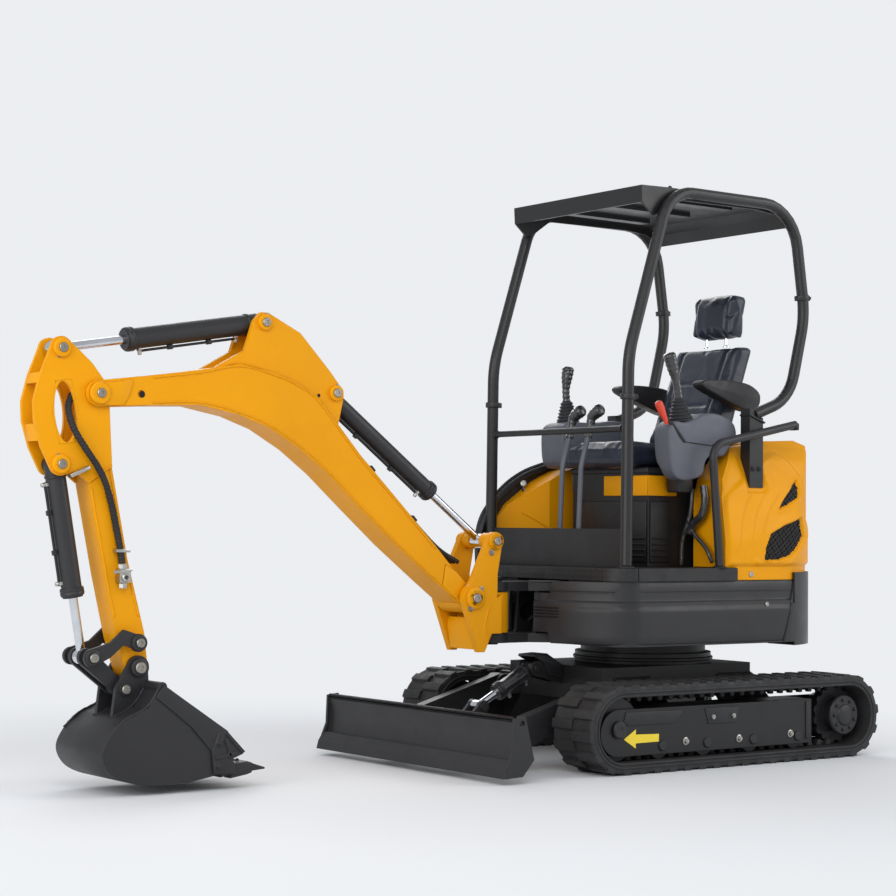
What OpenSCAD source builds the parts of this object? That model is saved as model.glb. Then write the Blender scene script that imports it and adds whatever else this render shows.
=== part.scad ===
// Mini excavator on rubber tracks, with a two-post canopy, dozer blade, swing boom, arm and bucket.
// Millimetres. X points forward, Y to the operator's left, Z up, with the tracks standing on Z = 0.

/* [Undercarriage] */
// Distance between idler axle and sprocket axle
track_base = 1257; // [1100:1:1400]
// Radius of the track over its lugs
track_r = 172; // [150:1:200]
// Height of a track lug
lug_h = 22; // [12:1:30]
// Thickness of the track belt
belt_t = 25; // [15:1:35]
// Width of one track
belt_w = 230; // [180:1:260]
// Distance between the two track centre lines
track_gauge = 1012; // [960:1:1100]
// Number of lugs round one track
lug_count = 44; // [30:1:60]
// Radius of a bottom roller
roller_r = 52; // [40:1:60]
// Thickness of the track frame plates
frame_t = 12; // [8:1:16]
// Radius of the slewing ring
ring_r = 288; // [240:1:320]
// Height of the centre frame's top
frame_top = 385; // [350:1:410]

/* [Blade] */
// Length of the dozer blade
blade_w = 1258; // [1100:1:1400]
// Radius of the moldboard's curve
mold_r = 213; // [180:1:300]
// Thickness of the moldboard
mold_t = 12; // [8:1:16]
// Radius of the tie-down hole in an end plate
tie_r = 12; // [8:0.5:16]
// Half distance between the blade arms
blade_arm_y = 330; // [280:1:345]

/* [House] */
// Half width of the house
house_hw = 490; // [450:1:520]
// Front face of the house, ahead of the slew axis
house_front = 560; // [500:1:600]
// Radius of the tail corners
tail_r = 430; // [350:1:480]
// Distance of the tail's rearmost point behind the slew axis
tail_x = 750; // [700:1:800]
// Height of the house floor's underside
house_z = 478; // [470:1:520]
// Height of the skirt's top edge
skirt_top = 736; // [700:1:760]
// Height of the floor's walking surface
floor_z = 788; // [765:1:820]
// Thickness of sheet panels
sheet = 6; // [4:1:10]

/* [Canopy] */
// Outer radius of the canopy tube
tube_r = 24; // [18:1:30]
// Distance of a canopy tube's centre line inside the house's side
post_in = 52; // [46:1:80]
// Height of the roof tube's centre line
roof_z = 2318; // [2200:1:2400]

/* [Boom and arm] */
// Half width of the boom
boom_hw = 75; // [60:1:85]
// Wall of the boom's plates
boom_wall = 8; // [6:1:12]
// Half width of the arm
arm_hw = 50; // [44:1:56]
// Radius of a main pivot pin
pin_r = 17; // [14:0.5:20]
// Radius of the boom's lifting hole
lift_r = 14; // [10:0.5:18]
// Radius of the service valve's port
port_r = 8; // [6:0.5:10]

/* [Cylinders] */
// Radius of the boom cylinder's barrel
boom_cyl_r = 34; // [30:1:40]
// Radius of the arm cylinder's barrel
arm_cyl_r = 38; // [32:1:44]
// Radius of the bucket cylinder's barrel
bucket_cyl_r = 36; // [30:1:42]
// Radius of a piston rod
rod_r = 16; // [12:0.5:18]

/* [Bucket] */
// Width of the bucket
bucket_w = 360; // [300:1:450]
// Thickness of the bucket's plates
bucket_t = 10; // [6:1:14]
// Number of bucket teeth
tooth_count = 4; // [3:1:5]

/* [Hidden] */
$fn = 48;

// Running gap between a pin and its bore, and between parts that only touch
gap = 0.3;
// Side gap between moving plates
side = 4;

yellow = "#F2AE24";
dark = "#454449";
black = "#2B2B2D";
rubber = "#3A3A3B";
grey = "#5D6270";
steel = "#B9BCC0";
red = "#D8503C";

// Undercarriage places
idler_x = 648;
sprocket_x = idler_x - track_base;
axle_z = track_r;
belt_r = track_r - lug_h;
inner_r = belt_r - belt_t;
track_y = track_gauge / 2;
loop_len = 2 * track_base + 2 * PI * belt_r;
plate_y = track_y + belt_w / 2 - 34;
inner_y = track_y - belt_w / 2 + 34;
plate_low = 68;
plate_high = 248;
plate_c = (plate_low + plate_high) / 2;
plate_r = (plate_high - plate_low) / 2;
roller_z = axle_z - inner_r + roller_r + gap;

// Half distance between the canopy tubes
post_y = house_hw - post_in;

// Pivot places, [x, z] ahead of the slew axis and above the ground
blade_piv = [520, 290];
blade_bar = [615, 373];
blade_eye = [881, 230];
swing_x = 815;
foot = [980, 666];
post_pin = [880, 891];
boom_lug = [1622, 1449];
stick_lug = [1940, 1698];
tip = [2620, 1404];
yoke_top = [2758, 1558];
yoke_low = [2755, 1152];
link_k = [2635, 479];
link_g = [2455, 527];
link_q = [2500, 364];
bucket_piv = [2446, 439];

// The part's own frame: X is centred between the track's rear and the arm's yoke
yoke_front = 2861;
origin_x = (yoke_front + sprocket_x - track_r) / 2;

module home() {
  translate([-origin_x, 0, 0]) children();
}

// Extrudes an XZ outline between two Y planes
module xz(y0, y1) {
  translate([0, y1, 0]) rotate([90, 0, 0]) linear_extrude(y1 - y0) children();
}

// Extrudes an XZ outline on both sides of the middle plane
module xz_pair(y0, y1) {
  xz(y0, y1) children();
  xz(-y1, -y0) children();
}

module both() {
  children();
  mirror([0, 1, 0]) children();
}

// Straight pin or bore along Y
module ypin(p, r, y0, y1) {
  translate([p[0], y0, p[1]]) rotate([-90, 0, 0]) cylinder(r = r, h = y1 - y0);
}

// Round bar between two XZ points at a given Y
module bar(a, b, r, y = 0) {
  d = b - a;
  translate([a[0], y, a[1]]) rotate([0, atan2(d[0], d[1]), 0]) cylinder(r = r, h = norm(d));
}

function along(a, b, t) = a + (b - a) / norm(b - a) * t;
function unit(v) = v / norm(v);
function cross2(a, b) = a[0] * b[1] - a[1] * b[0];

// Moves each side of a polygon inwards by d; the points run anticlockwise
function side_n(p, q) = [-(q[1] - p[1]), q[0] - p[0]] / norm(q - p);
function inset(pts, d) = [for (i = [0:len(pts) - 1])
  let (a = pts[(i + len(pts) - 1) % len(pts)], b = pts[i], c = pts[(i + 1) % len(pts)],
    n1 = side_n(a, b), n2 = side_n(b, c))
  b + (n1 + n2) * d / (1 + n1 * n2)];

// Points along a bent XZ route, with an arc of the given radius at each inner point
function turn_at(pts, i) = let (d0 = unit(pts[i] - pts[i - 1]), d1 = unit(pts[i + 1] - pts[i]))
  atan2(cross2(d0, d1), d0 * d1);
function bend_arc(pts, i, r, steps) = let (t = turn_at(pts, i), d0 = unit(pts[i] - pts[i - 1]),
    n = [-d0[1], d0[0]] * sign(t), mid = pts[i] - d0 * r * tan(abs(t) / 2) + n * r)
  [for (j = [0:steps]) let (a = abs(t) * j / steps) mid - n * r * cos(a) + d0 * r * sin(a)];
function bend_path(pts, bend, steps = 7) = [for (i = [0:len(pts) - 1])
  each (i == 0 || i == len(pts) - 1 ? [pts[i]] : bend_arc(pts, i, bend[i], steps))];

// Tube swept along XZ points at a given Y
module swept(path, r, y, sides = 16) {
  n = len(path);
  dirs = [for (i = [0:n - 1]) unit(path[min(i + 1, n - 1)] - path[max(i - 1, 0)])];
  rings = [for (i = [0:n - 1]) for (k = [0:sides - 1]) let (a = 360 * k / sides)
    [path[i][0] - r * sin(a) * dirs[i][1], y + r * cos(a), path[i][1] + r * sin(a) * dirs[i][0]]];
  walls = [for (i = [0:n - 2]) for (k = [0:sides - 1]) let (a = i * sides + k, b = i * sides + (k + 1) % sides)
    each [[a, b + sides, b], [a, a + sides, b + sides]]];
  polyhedron(rings, concat([[for (k = [0:sides - 1]) k]], walls,
    [[for (k = [sides - 1:-1:0]) (n - 1) * sides + k]]));
}

// Tracks

module loop2d(r) {
  translate([idler_x, axle_z]) circle(r, $fn = 96);
  translate([sprocket_x, axle_z]) circle(r, $fn = 96);
  translate([sprocket_x, axle_z - r]) square([track_base, 2 * r]);
}

function loop_at(s) = let (arc = PI * belt_r)
  s < track_base ? [sprocket_x + s, axle_z - belt_r, 180]
  : s < track_base + arc ? let (a = (s - track_base) / arc * 180)
    [idler_x + belt_r * sin(a), axle_z - belt_r * cos(a), 180 + a]
  : s < 2 * track_base + arc ? [idler_x - (s - track_base - arc), axle_z + belt_r, 0]
  : let (a = (s - 2 * track_base - arc) / arc * 180)
    [sprocket_x - belt_r * sin(a), axle_z + belt_r * cos(a), a];

module lug_loop(phase) {
  difference() {
    intersection() {
      union() {
        loop2d(belt_r);
        for (i = [0:lug_count - 1]) {
          p = loop_at((i + phase) * loop_len / lug_count);
          translate([p[0], p[1]]) rotate(p[2])
            polygon([[-24, -3], [24, -3], [16, lug_h + 2], [-16, lug_h + 2]]);
        }
      }
      loop2d(track_r);
    }
    loop2d(inner_r);
  }
}

module track() {
  xz(track_y - belt_w / 2, track_y) lug_loop(0.25);
  xz(track_y, track_y + belt_w / 2) lug_loop(0.75);
}

module track_left() {
  color(rubber) home() track();
}

module track_right() {
  color(rubber) home() mirror([0, 1, 0]) track();
}

// Undercarriage frame

plate_back = -411;
roller_x = [-330, -75, 180, 420];
axle_r = 22;
roller_axle_r = 14;
frame_x0 = -340;
frame_x1 = 480;
frame_hw = 300;
leg_w = 190;
beam_hw = 375;

module side_frame() {
  difference() {
    union() {
      xz(plate_y - frame_t, plate_y) {
        translate([idler_x, plate_c]) circle(plate_r);
        translate([plate_back, plate_low]) square([idler_x - plate_back, 2 * plate_r]);
      }
      xz(inner_y - frame_t, inner_y) {
        translate([idler_x, plate_c]) circle(plate_r);
        translate([sprocket_x, plate_c]) circle(plate_r);
        translate([sprocket_x, plate_low]) square([track_base, 2 * plate_r]);
      }
      translate([plate_back, inner_y, plate_high - frame_t])
        cube([idler_x - inner_r - 10 - plate_back, plate_y - frame_t - inner_y, frame_t]);
    }
    ypin([idler_x, axle_z], axle_r + gap, inner_y - 50, plate_y + 50);
    for (x = roller_x) ypin([x, roller_z], roller_axle_r + gap, inner_y - 50, plate_y + 50);
  }
}

// Leg between the centre frame and a side frame
module leg(x) {
  translate([x, 0, 0]) rotate([90, 0, 90]) linear_extrude(leg_w)
    polygon([[frame_hw - 20, frame_top - 20], [frame_hw - 20, 262], [inner_y - frame_t + 2, plate_low + 30],
      [inner_y - frame_t + 2, plate_high - 3]]);
}

module track_frame() {
  color(black) home() difference() {
    union() {
      both() {
        side_frame();
        leg(frame_x0);
        leg(frame_x1 - leg_w - 60);
        // Ears for the blade arm's pivot
        for (y = [blade_arm_y - 25 - side - 16, blade_arm_y + 25 + side]) xz(y, y + 16) {
          translate(blade_piv) circle(38);
          translate([frame_x1 - 20, blade_piv[1] - 38]) square([blade_piv[0] - frame_x1 + 20, 76]);
        }
        ypin(blade_piv, pin_r, blade_arm_y - 30 - side - 16, blade_arm_y + 30 + side + 16);
      }
      difference() {
        translate([frame_x0, -frame_hw, 250])
          cube([frame_x1 - frame_x0, 2 * frame_hw, frame_top - 250]);
        translate([frame_x0 + 14, -frame_hw + 14, 240])
          cube([frame_x1 - frame_x0 - 28, 2 * frame_hw - 28, frame_top - 240 - 16]);
      }
      // Sloped rear plate
      xz(-200, 200) polygon([[frame_x0 + 4, frame_top - 4], [frame_x0 - 120, 320], [frame_x0 - 120, 300],
        [frame_x0 + 4, 355]]);
      // Front beam
      translate([frame_x1 - 44, -beam_hw, blade_piv[1] - 38]) cube([44, 2 * beam_hw, 84]);
      // Box bracket of the blade cylinder
      xz_pair(blade_cyl_r + side, blade_cyl_r + side + 16) {
        translate(blade_bar) circle(32);
        polygon([[frame_x1 - 8, frame_top - 6], [frame_x1 - 8, 310], [frame_x1 + 4, 310],
          blade_bar + [18, -26], blade_bar + [-10, 30]]);
      }
      ypin(blade_bar, 15, -blade_cyl_r - side - 20, blade_cyl_r + side + 20);
    }
    // Openings through the centre frame's top, inside the slewing ring
    translate([0, 0, frame_top - 30]) cylinder(r = ring_r - 80, h = 60);
  }
}

module idlers() {
  color(dark) home() both() {
    ypin([idler_x, axle_z], inner_r - gap, inner_y + 12, plate_y - frame_t - 12);
    ypin([idler_x, axle_z], axle_r, inner_y - frame_t - 6, plate_y + 6);
    ypin([idler_x, axle_z], 40, inner_y + gap, plate_y - frame_t - gap);
  }
}

sprocket_teeth = 15;

module sprockets() {
  color(dark) home() both() {
    difference() {
      ypin([sprocket_x, axle_z], inner_r - 3, track_y - 22, track_y + 22);
      for (i = [0:sprocket_teeth - 1])
        ypin([sprocket_x, axle_z] + inner_r * [cos(i * 360 / sprocket_teeth),
          sin(i * 360 / sprocket_teeth)], 15, track_y - 30, track_y + 30);
    }
    ypin([sprocket_x, axle_z], 84, inner_y, track_y - 10);
    ypin([sprocket_x, axle_z], 70, track_y - 20, plate_y - 14);
    ypin([sprocket_x, axle_z], 44, track_y, plate_y - 4);
  }
}

module rollers() {
  color(dark) home() both() for (x = roller_x) {
    ypin([x, roller_z], roller_axle_r, inner_y - frame_t + 4, plate_y + 5);
    ypin([x, roller_z], roller_r, inner_y + 10, track_y - 22);
    ypin([x, roller_z], roller_r, track_y + 22, plate_y - frame_t - 10);
    ypin([x, roller_z], 30, inner_y + gap, plate_y - frame_t - gap);
  }
}

module slew_ring() {
  color(dark) home() translate([0, 0, frame_top]) difference() {
    cylinder(r = ring_r, h = 44, $fn = 96);
    translate([0, 0, -5]) cylinder(r = ring_r - 60, h = 60);
  }
}

// Blade

blade_top = 240;
blade_low = 25;
mold_c = [1389.5, 162.7];
end_t = 12;
arm_t = 50;
cross_x = 900;

module blade() {
  color(dark) home() difference() {
    union() {
      xz(-blade_w / 2 + 1, blade_w / 2 - 1) intersection() {
        difference() {
          translate(mold_c) circle(mold_r + mold_t, $fn = 96);
          translate(mold_c) circle(mold_r, $fn = 96);
        }
        translate([mold_c[0] - mold_r - mold_t, blade_low])
          square([mold_r, blade_top - blade_low]);
      }
      // Cutting edge
      xz(-blade_w / 2 + 1, blade_w / 2 - 1)
        polygon([[1208, blade_low], [1240, blade_low], [1231, blade_low + 34], [1206, blade_low + 70]]);
      // End plates
      both() xz(blade_w / 2 - end_t, blade_w / 2)
        polygon([[1192, blade_top + 4], [1140, blade_top + 10], [1097, 88], [1150, blade_low + 3],
          [1240, blade_low], [1196, 130]]);
      // Stiffener behind the moldboard
      translate([1100, -blade_w / 2 + 60, 96]) cube([70, blade_w - 120, 90]);
      both() xz(blade_arm_y - arm_t / 2, blade_arm_y + arm_t / 2) {
        translate(blade_piv) circle(40);
        polygon([[1120, 96], [1120, 186], [940, 210], blade_piv + [18, 36], blade_piv + [-18, -36], [900, 96]]);
      }
      // Cross member with the ears for the cylinder's rod
      translate([cross_x, -blade_arm_y, 106]) cube([60, 2 * blade_arm_y, 76]);
      xz_pair(20 + side, 20 + side + 16) {
        translate(blade_eye) circle(26);
        polygon([blade_eye + [-22, -14], [cross_x, 110], [cross_x + 60, 110], [cross_x + 60, 182],
          blade_eye + [10, 24]]);
      }
      xz_pair(20 + side + 16, 20 + side + 24) translate(blade_eye) circle(18);
    }
    both() ypin(blade_piv, pin_r + gap, blade_arm_y - arm_t, blade_arm_y + arm_t);
    both() ypin([1155, 223], tie_r, blade_w / 2 - 40, blade_w / 2 + 10);
  }
}

blade_cyl_r = 31;

// Eye, tube and gland of a cylinder that starts at point a and points to b
module barrel(a, b, len, r, eye_r, eye_hw, bore_r, eye_bore) {
  difference() {
    union() {
      ypin(a, eye_r, -eye_hw, eye_hw);
      bar(a, along(a, b, len), r);
      bar(along(a, b, len - 34), along(a, b, len - 6), r + 5);
    }
    ypin(a, eye_bore, -eye_hw - 40, eye_hw + 40);
    bar(along(a, b, eye_r + 26), along(a, b, len + 20), bore_r);
  }
}

// Rod that starts inside the barrel and ends in an eye at b
module rod(a, b, from, r, eye_r, eye_hw) {
  bar(along(a, b, from), b, r);
  ypin(b, eye_r, -eye_hw, eye_hw);
}

module blade_barrel() {
  color(dark) home() barrel(blade_bar, blade_eye, 200, blade_cyl_r, 27, blade_cyl_r, rod_r + gap, 15 + gap);
}

module blade_rod() {
  color(steel) home() rod(blade_bar, blade_eye, 110, rod_r, 24, 20);
}

// House

tail_cx = tail_r - tail_x;
front_r = 110;
cw_x = -425;
cw_low = 463;
cw_high = 768;
cw_t = 150;
hood_low = skirt_top + 2;
hood_in = 14;
hood_hw = house_hw - hood_in;

module plan(d) {
  hw = house_hw - d;
  for (s = [-1, 1]) {
    translate([tail_cx, s * (house_hw - tail_r)]) circle(tail_r - d, $fn = 128);
    translate([house_front - front_r, s * (house_hw - front_r)]) circle(front_r - d);
  }
  translate([-tail_x + d, -(house_hw - tail_r)]) square([tail_r, 2 * (house_hw - tail_r)]);
  translate([tail_cx, -hw]) square([house_front - front_r - tail_cx, 2 * hw]);
  translate([house_front - front_r - 1, -(house_hw - front_r)])
    square([front_r - d + 1, 2 * (house_hw - front_r)]);
}

// Part of the plan between two X planes
module plan_cut(d, x0, x1) {
  intersection() {
    plan(d);
    translate([x0, -600]) square([x1 - x0, 1200]);
  }
}

ear_low = [house_z + 5, house_z + 42];
ear_high = [690, 728];
ear_r = 72;
swing_pin_r = 26;

module platform() {
  color(black) home() difference() {
    union() {
      translate([0, 0, house_z]) linear_extrude(24) plan_cut(sheet + gap, cw_x + gap, 700);
      translate([0, 0, frame_top + 44 + gap])
        cylinder(r = ring_r - 24, h = house_z - frame_top - 44 - gap, $fn = 96);
      // Ears of the boom's swing bracket
      for (z = [ear_low, ear_high]) translate([0, 0, z[0]]) linear_extrude(z[1] - z[0]) {
        translate([swing_x, 0]) circle(ear_r);
        polygon([[house_front - 40, -150], [house_front + 20, -150], [swing_x - 135, -66], [swing_x, -66],
          [swing_x, 66], [swing_x - 135, 66], [house_front + 20, 150], [house_front - 40, 150]]);
      }
      both() difference() {
        xz(54, 74) polygon([[house_front - 40, ear_low[0]], [house_front + 90, ear_low[0]],
          [house_front + 70, ear_high[1]], [house_front - 40, ear_high[1]]]);
        ypin([house_front + 28, 600], 38, 40, 140);
      }
      translate([house_front - 40, -160, house_z]) cube([26, 320, ear_high[1] - house_z]);
      translate([swing_x, 0, ear_low[0] - 8]) cylinder(r = swing_pin_r, h = ear_high[1] - ear_low[0] + 24);
      translate([swing_x, 0, ear_high[1]]) cylinder(r = 40, h = 12);
    }
    // Passage through the middle of the slewing ring
    translate([0, 0, frame_top]) cylinder(r = ring_r - 110, h = 160);
  }
}

crease_z = 640;

// Rounded panel between the swing bracket's ears, on one side
module nose() {
  translate([house_front, 0, ear_low[1] + 6]) linear_extrude(ear_high[0] - ear_low[1] - 12)
    polygon([[-20, 330], [20, 290], [58, 222], [88, 160], [100, 124], [100, 80], [88, 80], [86, 120], [74, 156],
      [46, 214], [8, 278], [-28, 318]]);
}

module skirts() {
  color(dark) home() both() nose();
  color(dark) home() difference() {
    union() {
      translate([0, 0, house_z]) linear_extrude(crease_z - house_z) difference() {
        plan_cut(0, cw_x + gap, 700);
        plan(sheet);
      }
      translate([0, 0, crease_z - sheet]) linear_extrude(sheet) difference() {
        plan_cut(sheet - 1, cw_x + gap, 700);
        plan(10 + sheet);
      }
      translate([0, 0, crease_z]) linear_extrude(skirt_top - crease_z) difference() {
        plan_cut(10, cw_x + gap, 700);
        plan(10 + sheet);
      }
    }
    // Opening round the swing bracket
    translate([house_front - 60, -165, house_z - 10]) cube([140, 330, 400]);
  }
}

module counterweight() {
  color(dark) home() difference() {
    union() {
      translate([0, 0, cw_low]) linear_extrude(hood_low - gap - cw_low) plan_cut(0, -900, cw_x);
      translate([0, 0, hood_low - 1]) linear_extrude(cw_high - hood_low + 1) difference() {
        plan_cut(0, -900, cw_x);
        plan(hood_in - 1);
      }
    }
    translate([0, 0, cw_low - 10]) linear_extrude(400) plan(cw_t);
  }
}

floor_x0 = -80;
floor_x1 = house_front - 6;
floor_split = 462;

// Folded floor plate, open underneath
module tray(x0, x1) {
  difference() {
    translate([0, 0, skirt_top + gap]) linear_extrude(floor_z - skirt_top - gap) plan_cut(0, x0, x1);
    translate([0, 0, skirt_top - 10]) linear_extrude(floor_z - skirt_top + 10 - 10)
      plan_cut(8, x0 + 8, x1 - 8);
  }
}

module floor() {
  color(black) home() {
    tray(floor_x0, floor_split - 2);
    tray(floor_split + 2, house_front);
  }
}

module engine_block() {
  color(black) home() translate([-540, -225, house_z + 24]) cube([212, 450, 560]);
}

// Hood: outer form and inner form are the same shape with a different inset

hood_front = -24;
hood_mid = -330;

module hood_form(d) {
  intersection() {
    translate([0, 0, hood_low - 20]) linear_extrude(800) plan_cut(hood_in + d, -900, hood_front);
    xz(-600, 600) polygon([[floor_x0 - 6 - d, hood_low - (d > 0 ? 20 : 0)], [floor_x0 - 6 - d, floor_z + 2 + d],
      [hood_front - d, floor_z + 2 + d], [hood_front - d, 1080], [-44 - d, 1150], [-150 - d, 1284 - d],
      [-380, 1322 - d], [-560, 1330 - d], [-616 + d, 1310 - d], [-662 + d, 1200], [-712 + d, 1000],
      [-tail_x + hood_in + d, 860], [-tail_x + hood_in + d, hood_low - (d > 0 ? 20 : 0)]]);
    rotate([90, 0, 90]) translate([0, 0, -900]) linear_extrude(1200)
      polygon([[-hood_hw + d, 700], [hood_hw - d, 700], [hood_hw - d, 900], [hood_hw - 30 - d, 1120],
        [hood_hw - 80 - d, 1240], [hood_hw - 146 - d, 1334 - d], [-hood_hw + 146 + d, 1334 - d],
        [-hood_hw + 80 + d, 1240], [-hood_hw + 30 + d, 1120], [-hood_hw + d, 900]]);
  }
}

// Door in the hood's rear, on a vertical hinge
door_hw = 267;
door_z = [803, 1177];
door_gap = 3;
// X of the hood's rear surface at a given Y
function tail_at(y) = tail_cx - sqrt(pow(tail_r - hood_in, 2) - pow(abs(y) - house_hw + tail_r, 2));
door_axis = [tail_at(281) - 15.56, -281];
knuckle_r = 9;
knuckle_pin_r = 5;
knuckle_h = 40;
door_knuckle_z = [860, 1060];

module hood_shell() {
  difference() {
    hood_form(0);
    hood_form(sheet);
  }
}

module hood() {
  color(yellow) home() {
    difference() {
      hood_shell();
      // Open middle in front, where the seat stands
      translate([hood_mid, -285, hood_low - 50]) cube([600, 570, 700]);
      translate([-900, -door_hw - door_gap, door_z[0] - door_gap])
        cube([400, 2 * (door_hw + door_gap), door_z[1] - door_z[0] + 2 * door_gap]);
    }
    // Lower half of each hinge, with its pin
    for (z = door_knuckle_z) {
      translate([door_axis[0], door_axis[1], z - knuckle_h]) {
        cylinder(r = knuckle_r, h = knuckle_h - gap);
        cylinder(r = knuckle_pin_r, h = 2 * knuckle_h);
      }
      translate([0, 0, z - knuckle_h]) linear_extrude(knuckle_h - gap)
        polygon([for (p = [[-2.2, -3.4], [30.8, -24.4], [35.2, -17.6], [2.2, 3.4]]) door_axis + p]);
    }
  }
}

module rear_door() {
  color(yellow) home() difference() {
    union() {
      intersection() {
        hood_shell();
        translate([-900, -door_hw, door_z[0]]) cube([400, 2 * door_hw, door_z[1] - door_z[0]]);
      }
      for (z = door_knuckle_z) {
        translate([door_axis[0], door_axis[1], z]) cylinder(r = knuckle_r, h = knuckle_h);
        translate([door_axis[0] - 2, door_axis[1], z]) cube([9, 26, knuckle_h]);
      }
    }
    translate([door_axis[0], door_axis[1], door_z[0]])
      cylinder(r = knuckle_pin_r + gap, h = door_z[1] - door_z[0]);
  }
}

cover_x = hood_front + 4;
shell_in = post_y + tube_r + 2;
cover_in = house_hw - 150;

// Tank cover inside the right-hand shell, slanted for the operator's feet
module right_cover() {
  color(yellow) home() difference() {
    right_form(0);
    right_form(sheet);
  }
}

module right_form(d) {
  intersection() {
    translate([0, 0, floor_z - (d > 0 ? 5 : 0)]) linear_extrude(600)
      polygon([[cover_x + d, -shell_in + d], [452 - 3 * d, -shell_in + d], [240 - d / 2, -cover_in - d],
        [cover_x + d, -cover_in - d]]);
    xz(-600, 0) polygon([[cover_x - 50, 700], [700, 700], [520, 880], [396 - d, 1044 - d], [255, 1142 - d], [150, 1192 - d],
      [60, 1216 - d], [cover_x - 50, 1230 - d]]);
  }
}

module right_shell() {
  color(dark) home() xz(-house_hw + 2, -shell_in - gap) polygon([[cover_x, floor_z], [530, floor_z], [534, 860], [526, 933],
    [500, 1000], [450, 1066], [390, 1125], [320, 1172], [235, 1210], [90, 1250], [cover_x, 1262]]);
}

// Operator's place

base_hw = 240;
cushion_z = 1200;
seat_hw = 225;

module seat_base() {
  color(black) home() difference() {
    translate([-320, -base_hw, floor_z]) cube([510, 2 * base_hw, cushion_z - floor_z - gap]);
    translate([-320 + sheet, -base_hw + sheet, floor_z - 10])
      cube([510 - 2 * sheet, 2 * base_hw - 2 * sheet, cushion_z - floor_z - sheet]);
  }
}

module seat_cushion() {
  color(black) home() translate([-190, -seat_hw, cushion_z]) cube([475, 2 * seat_hw, 115]);
}

module seat_back() {
  color(black) home() xz(-seat_hw, seat_hw) polygon([[-192, cushion_z], [-192, 1330], [-370, 1750],
    [-470, 1740], [-318, 1330], [-310, cushion_z]]);
}

module headrest() {
  color(black) home() {
    xz(-140, 140) polygon([[-380, 1790], [-395, 1960], [-420, 1980], [-490, 1975], [-500, 1950], [-480, 1775]]);
    for (y = [-60, 60]) bar([-425, 1745.6], [-426, 1786], 7, y);
  }
}

module armrests() {
  color(black) home() both() xz(seat_hw + gap, seat_hw + 62)
    polygon([[-80, 1560], [-330, 1560], [-400, 1520], [-390, 1470], [-310, 1490], [-100, 1535]]);
}

module consoles() {
  color(grey) home() {
    xz(base_hw + gap, 400) polygon([[205, 1180], [215, 1360], [160, 1400], [60, 1385], [-60, 1420],
      [-150, 1400], [-175, 1330], [-160, 1300], [-40, 1235], [20, 1120], [140, 1090]]);
    xz(-300, -base_hw - gap) translate([0, 1100]) square([150, 140]);
    xz(-400, -base_hw - gap) polygon([[190, 1192], [240, 1215], [250, 1380], [210, 1410], [60, 1400], [-60, 1420],
      [-150, 1400], [-175, 1330], [-160, 1300], [-40, 1240], [60, 1226]]);
  }
}

module joysticks() {
  color(black) home() for (s = [[1, [100, 1397.8]], [-1, [147, 1409]]])
    translate([s[1][0], s[0] * 330, s[1][1]]) {
      cylinder(r1 = 42, r2 = 24, h = 90);
      translate([0, 0, 90]) cylinder(r = 18, h = 120);
    }
}

module safety_lever() {
  color(red) home() bar([206.1, 1368.8], [250, 1450], 12, 370);
}

module travel_levers() {
  color(grey) home() for (y = [-60, 60]) {
    translate([390, y - 22, floor_z]) cube([50, 44, 70]);
    swept(bend_path([[415, floor_z + 70 + gap], [400, 1200], [360, 1340]], [0, 120, 0]), 11, y, 12);
  }
}

guard_hw = post_y - tube_r - gap;

module front_guard() {
  color(black) home() {
    translate([post_foot[0] - 4, -guard_hw, floor_z]) cube([8, 2 * guard_hw, 156]);
    ypin([post_foot[0] - 4.6, 1344], 13, -guard_hw, guard_hw);
  }
}

module handrail() {
  color(dark) home() swept(bend_path([[4.2, floor_z + 1.9], [48, 1290], [-432, 1390]], [0, 70, 0]), 17, house_hw - 19);
}

// Canopy

post_foot = [484, floor_z + gap];
canopy_path = [post_foot, [477, 1640], [262, roof_z], [-450, roof_z], [-520, 1860], [-430, 1500],
  [-220, 1425]];
canopy_bend = [0, 500, 170, 200, 400, 200, 0];

module canopy_tube() {
  swept(bend_path(canopy_path, canopy_bend), tube_r, post_y);
}

module canopy_left() {
  color(dark) home() canopy_tube();
}

module canopy_right() {
  color(dark) home() mirror([0, 1, 0]) canopy_tube();
}

// Brackets that carry the canopy tubes' rear ends on the hood's shoulders
module canopy_feet() {
  color(dark) home() both() intersection() {
    xz(hood_hw - 86, house_hw - 10) polygon([[-262, 1100], [-185, 1100], [-185, 1450], [-210.7, 1450], [-227.8, 1401.6], [-262, 1413.8]]);
    translate([-300, 0, 0]) rotate([90, 0, 90]) linear_extrude(150)
      polygon([[hood_hw - 79.6, 1240.3], [hood_hw - 29.6, 1120.3], [hood_hw - 25, 1120.3], [hood_hw - 25, 1460],
        [hood_hw - 79.6, 1460]]);
  }
}

module roof() {
  color(dark) home() {
    // Folded sheet with a visor in front and a slope at the rear
    xz(-guard_hw, guard_hw) polygon([[-461, 2235], [-440, 2290], [-380, 2326], [-250, 2335], [240, 2335],
      [390, 2331], [386, 2262], [374, 2262], [376, 2318], [240, 2322], [-250, 2322], [-374, 2313], [-428, 2281],
      [-448, 2233]]);
    xz_pair(guard_hw - 9, guard_hw) polygon([[-461, 2235], [-440, 2290], [-380, 2326], [-250, 2335], [240, 2335],
      [390, 2331], [386, 2262], [327, 2212], [276, 2232], [196, 2288], [-250, 2292], [-372, 2282], [-428, 2250],
      [-440, 2228]]);
    // Ribs under the sheet
    for (y = [-260, 0, 260]) translate([-240, y - 26, 2303]) cube([470, 52, 20]);
  }
}

// Swing post

cheek_in = boom_hw + side;
cheek_t = 26;
cheek_out = cheek_in + cheek_t;

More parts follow.
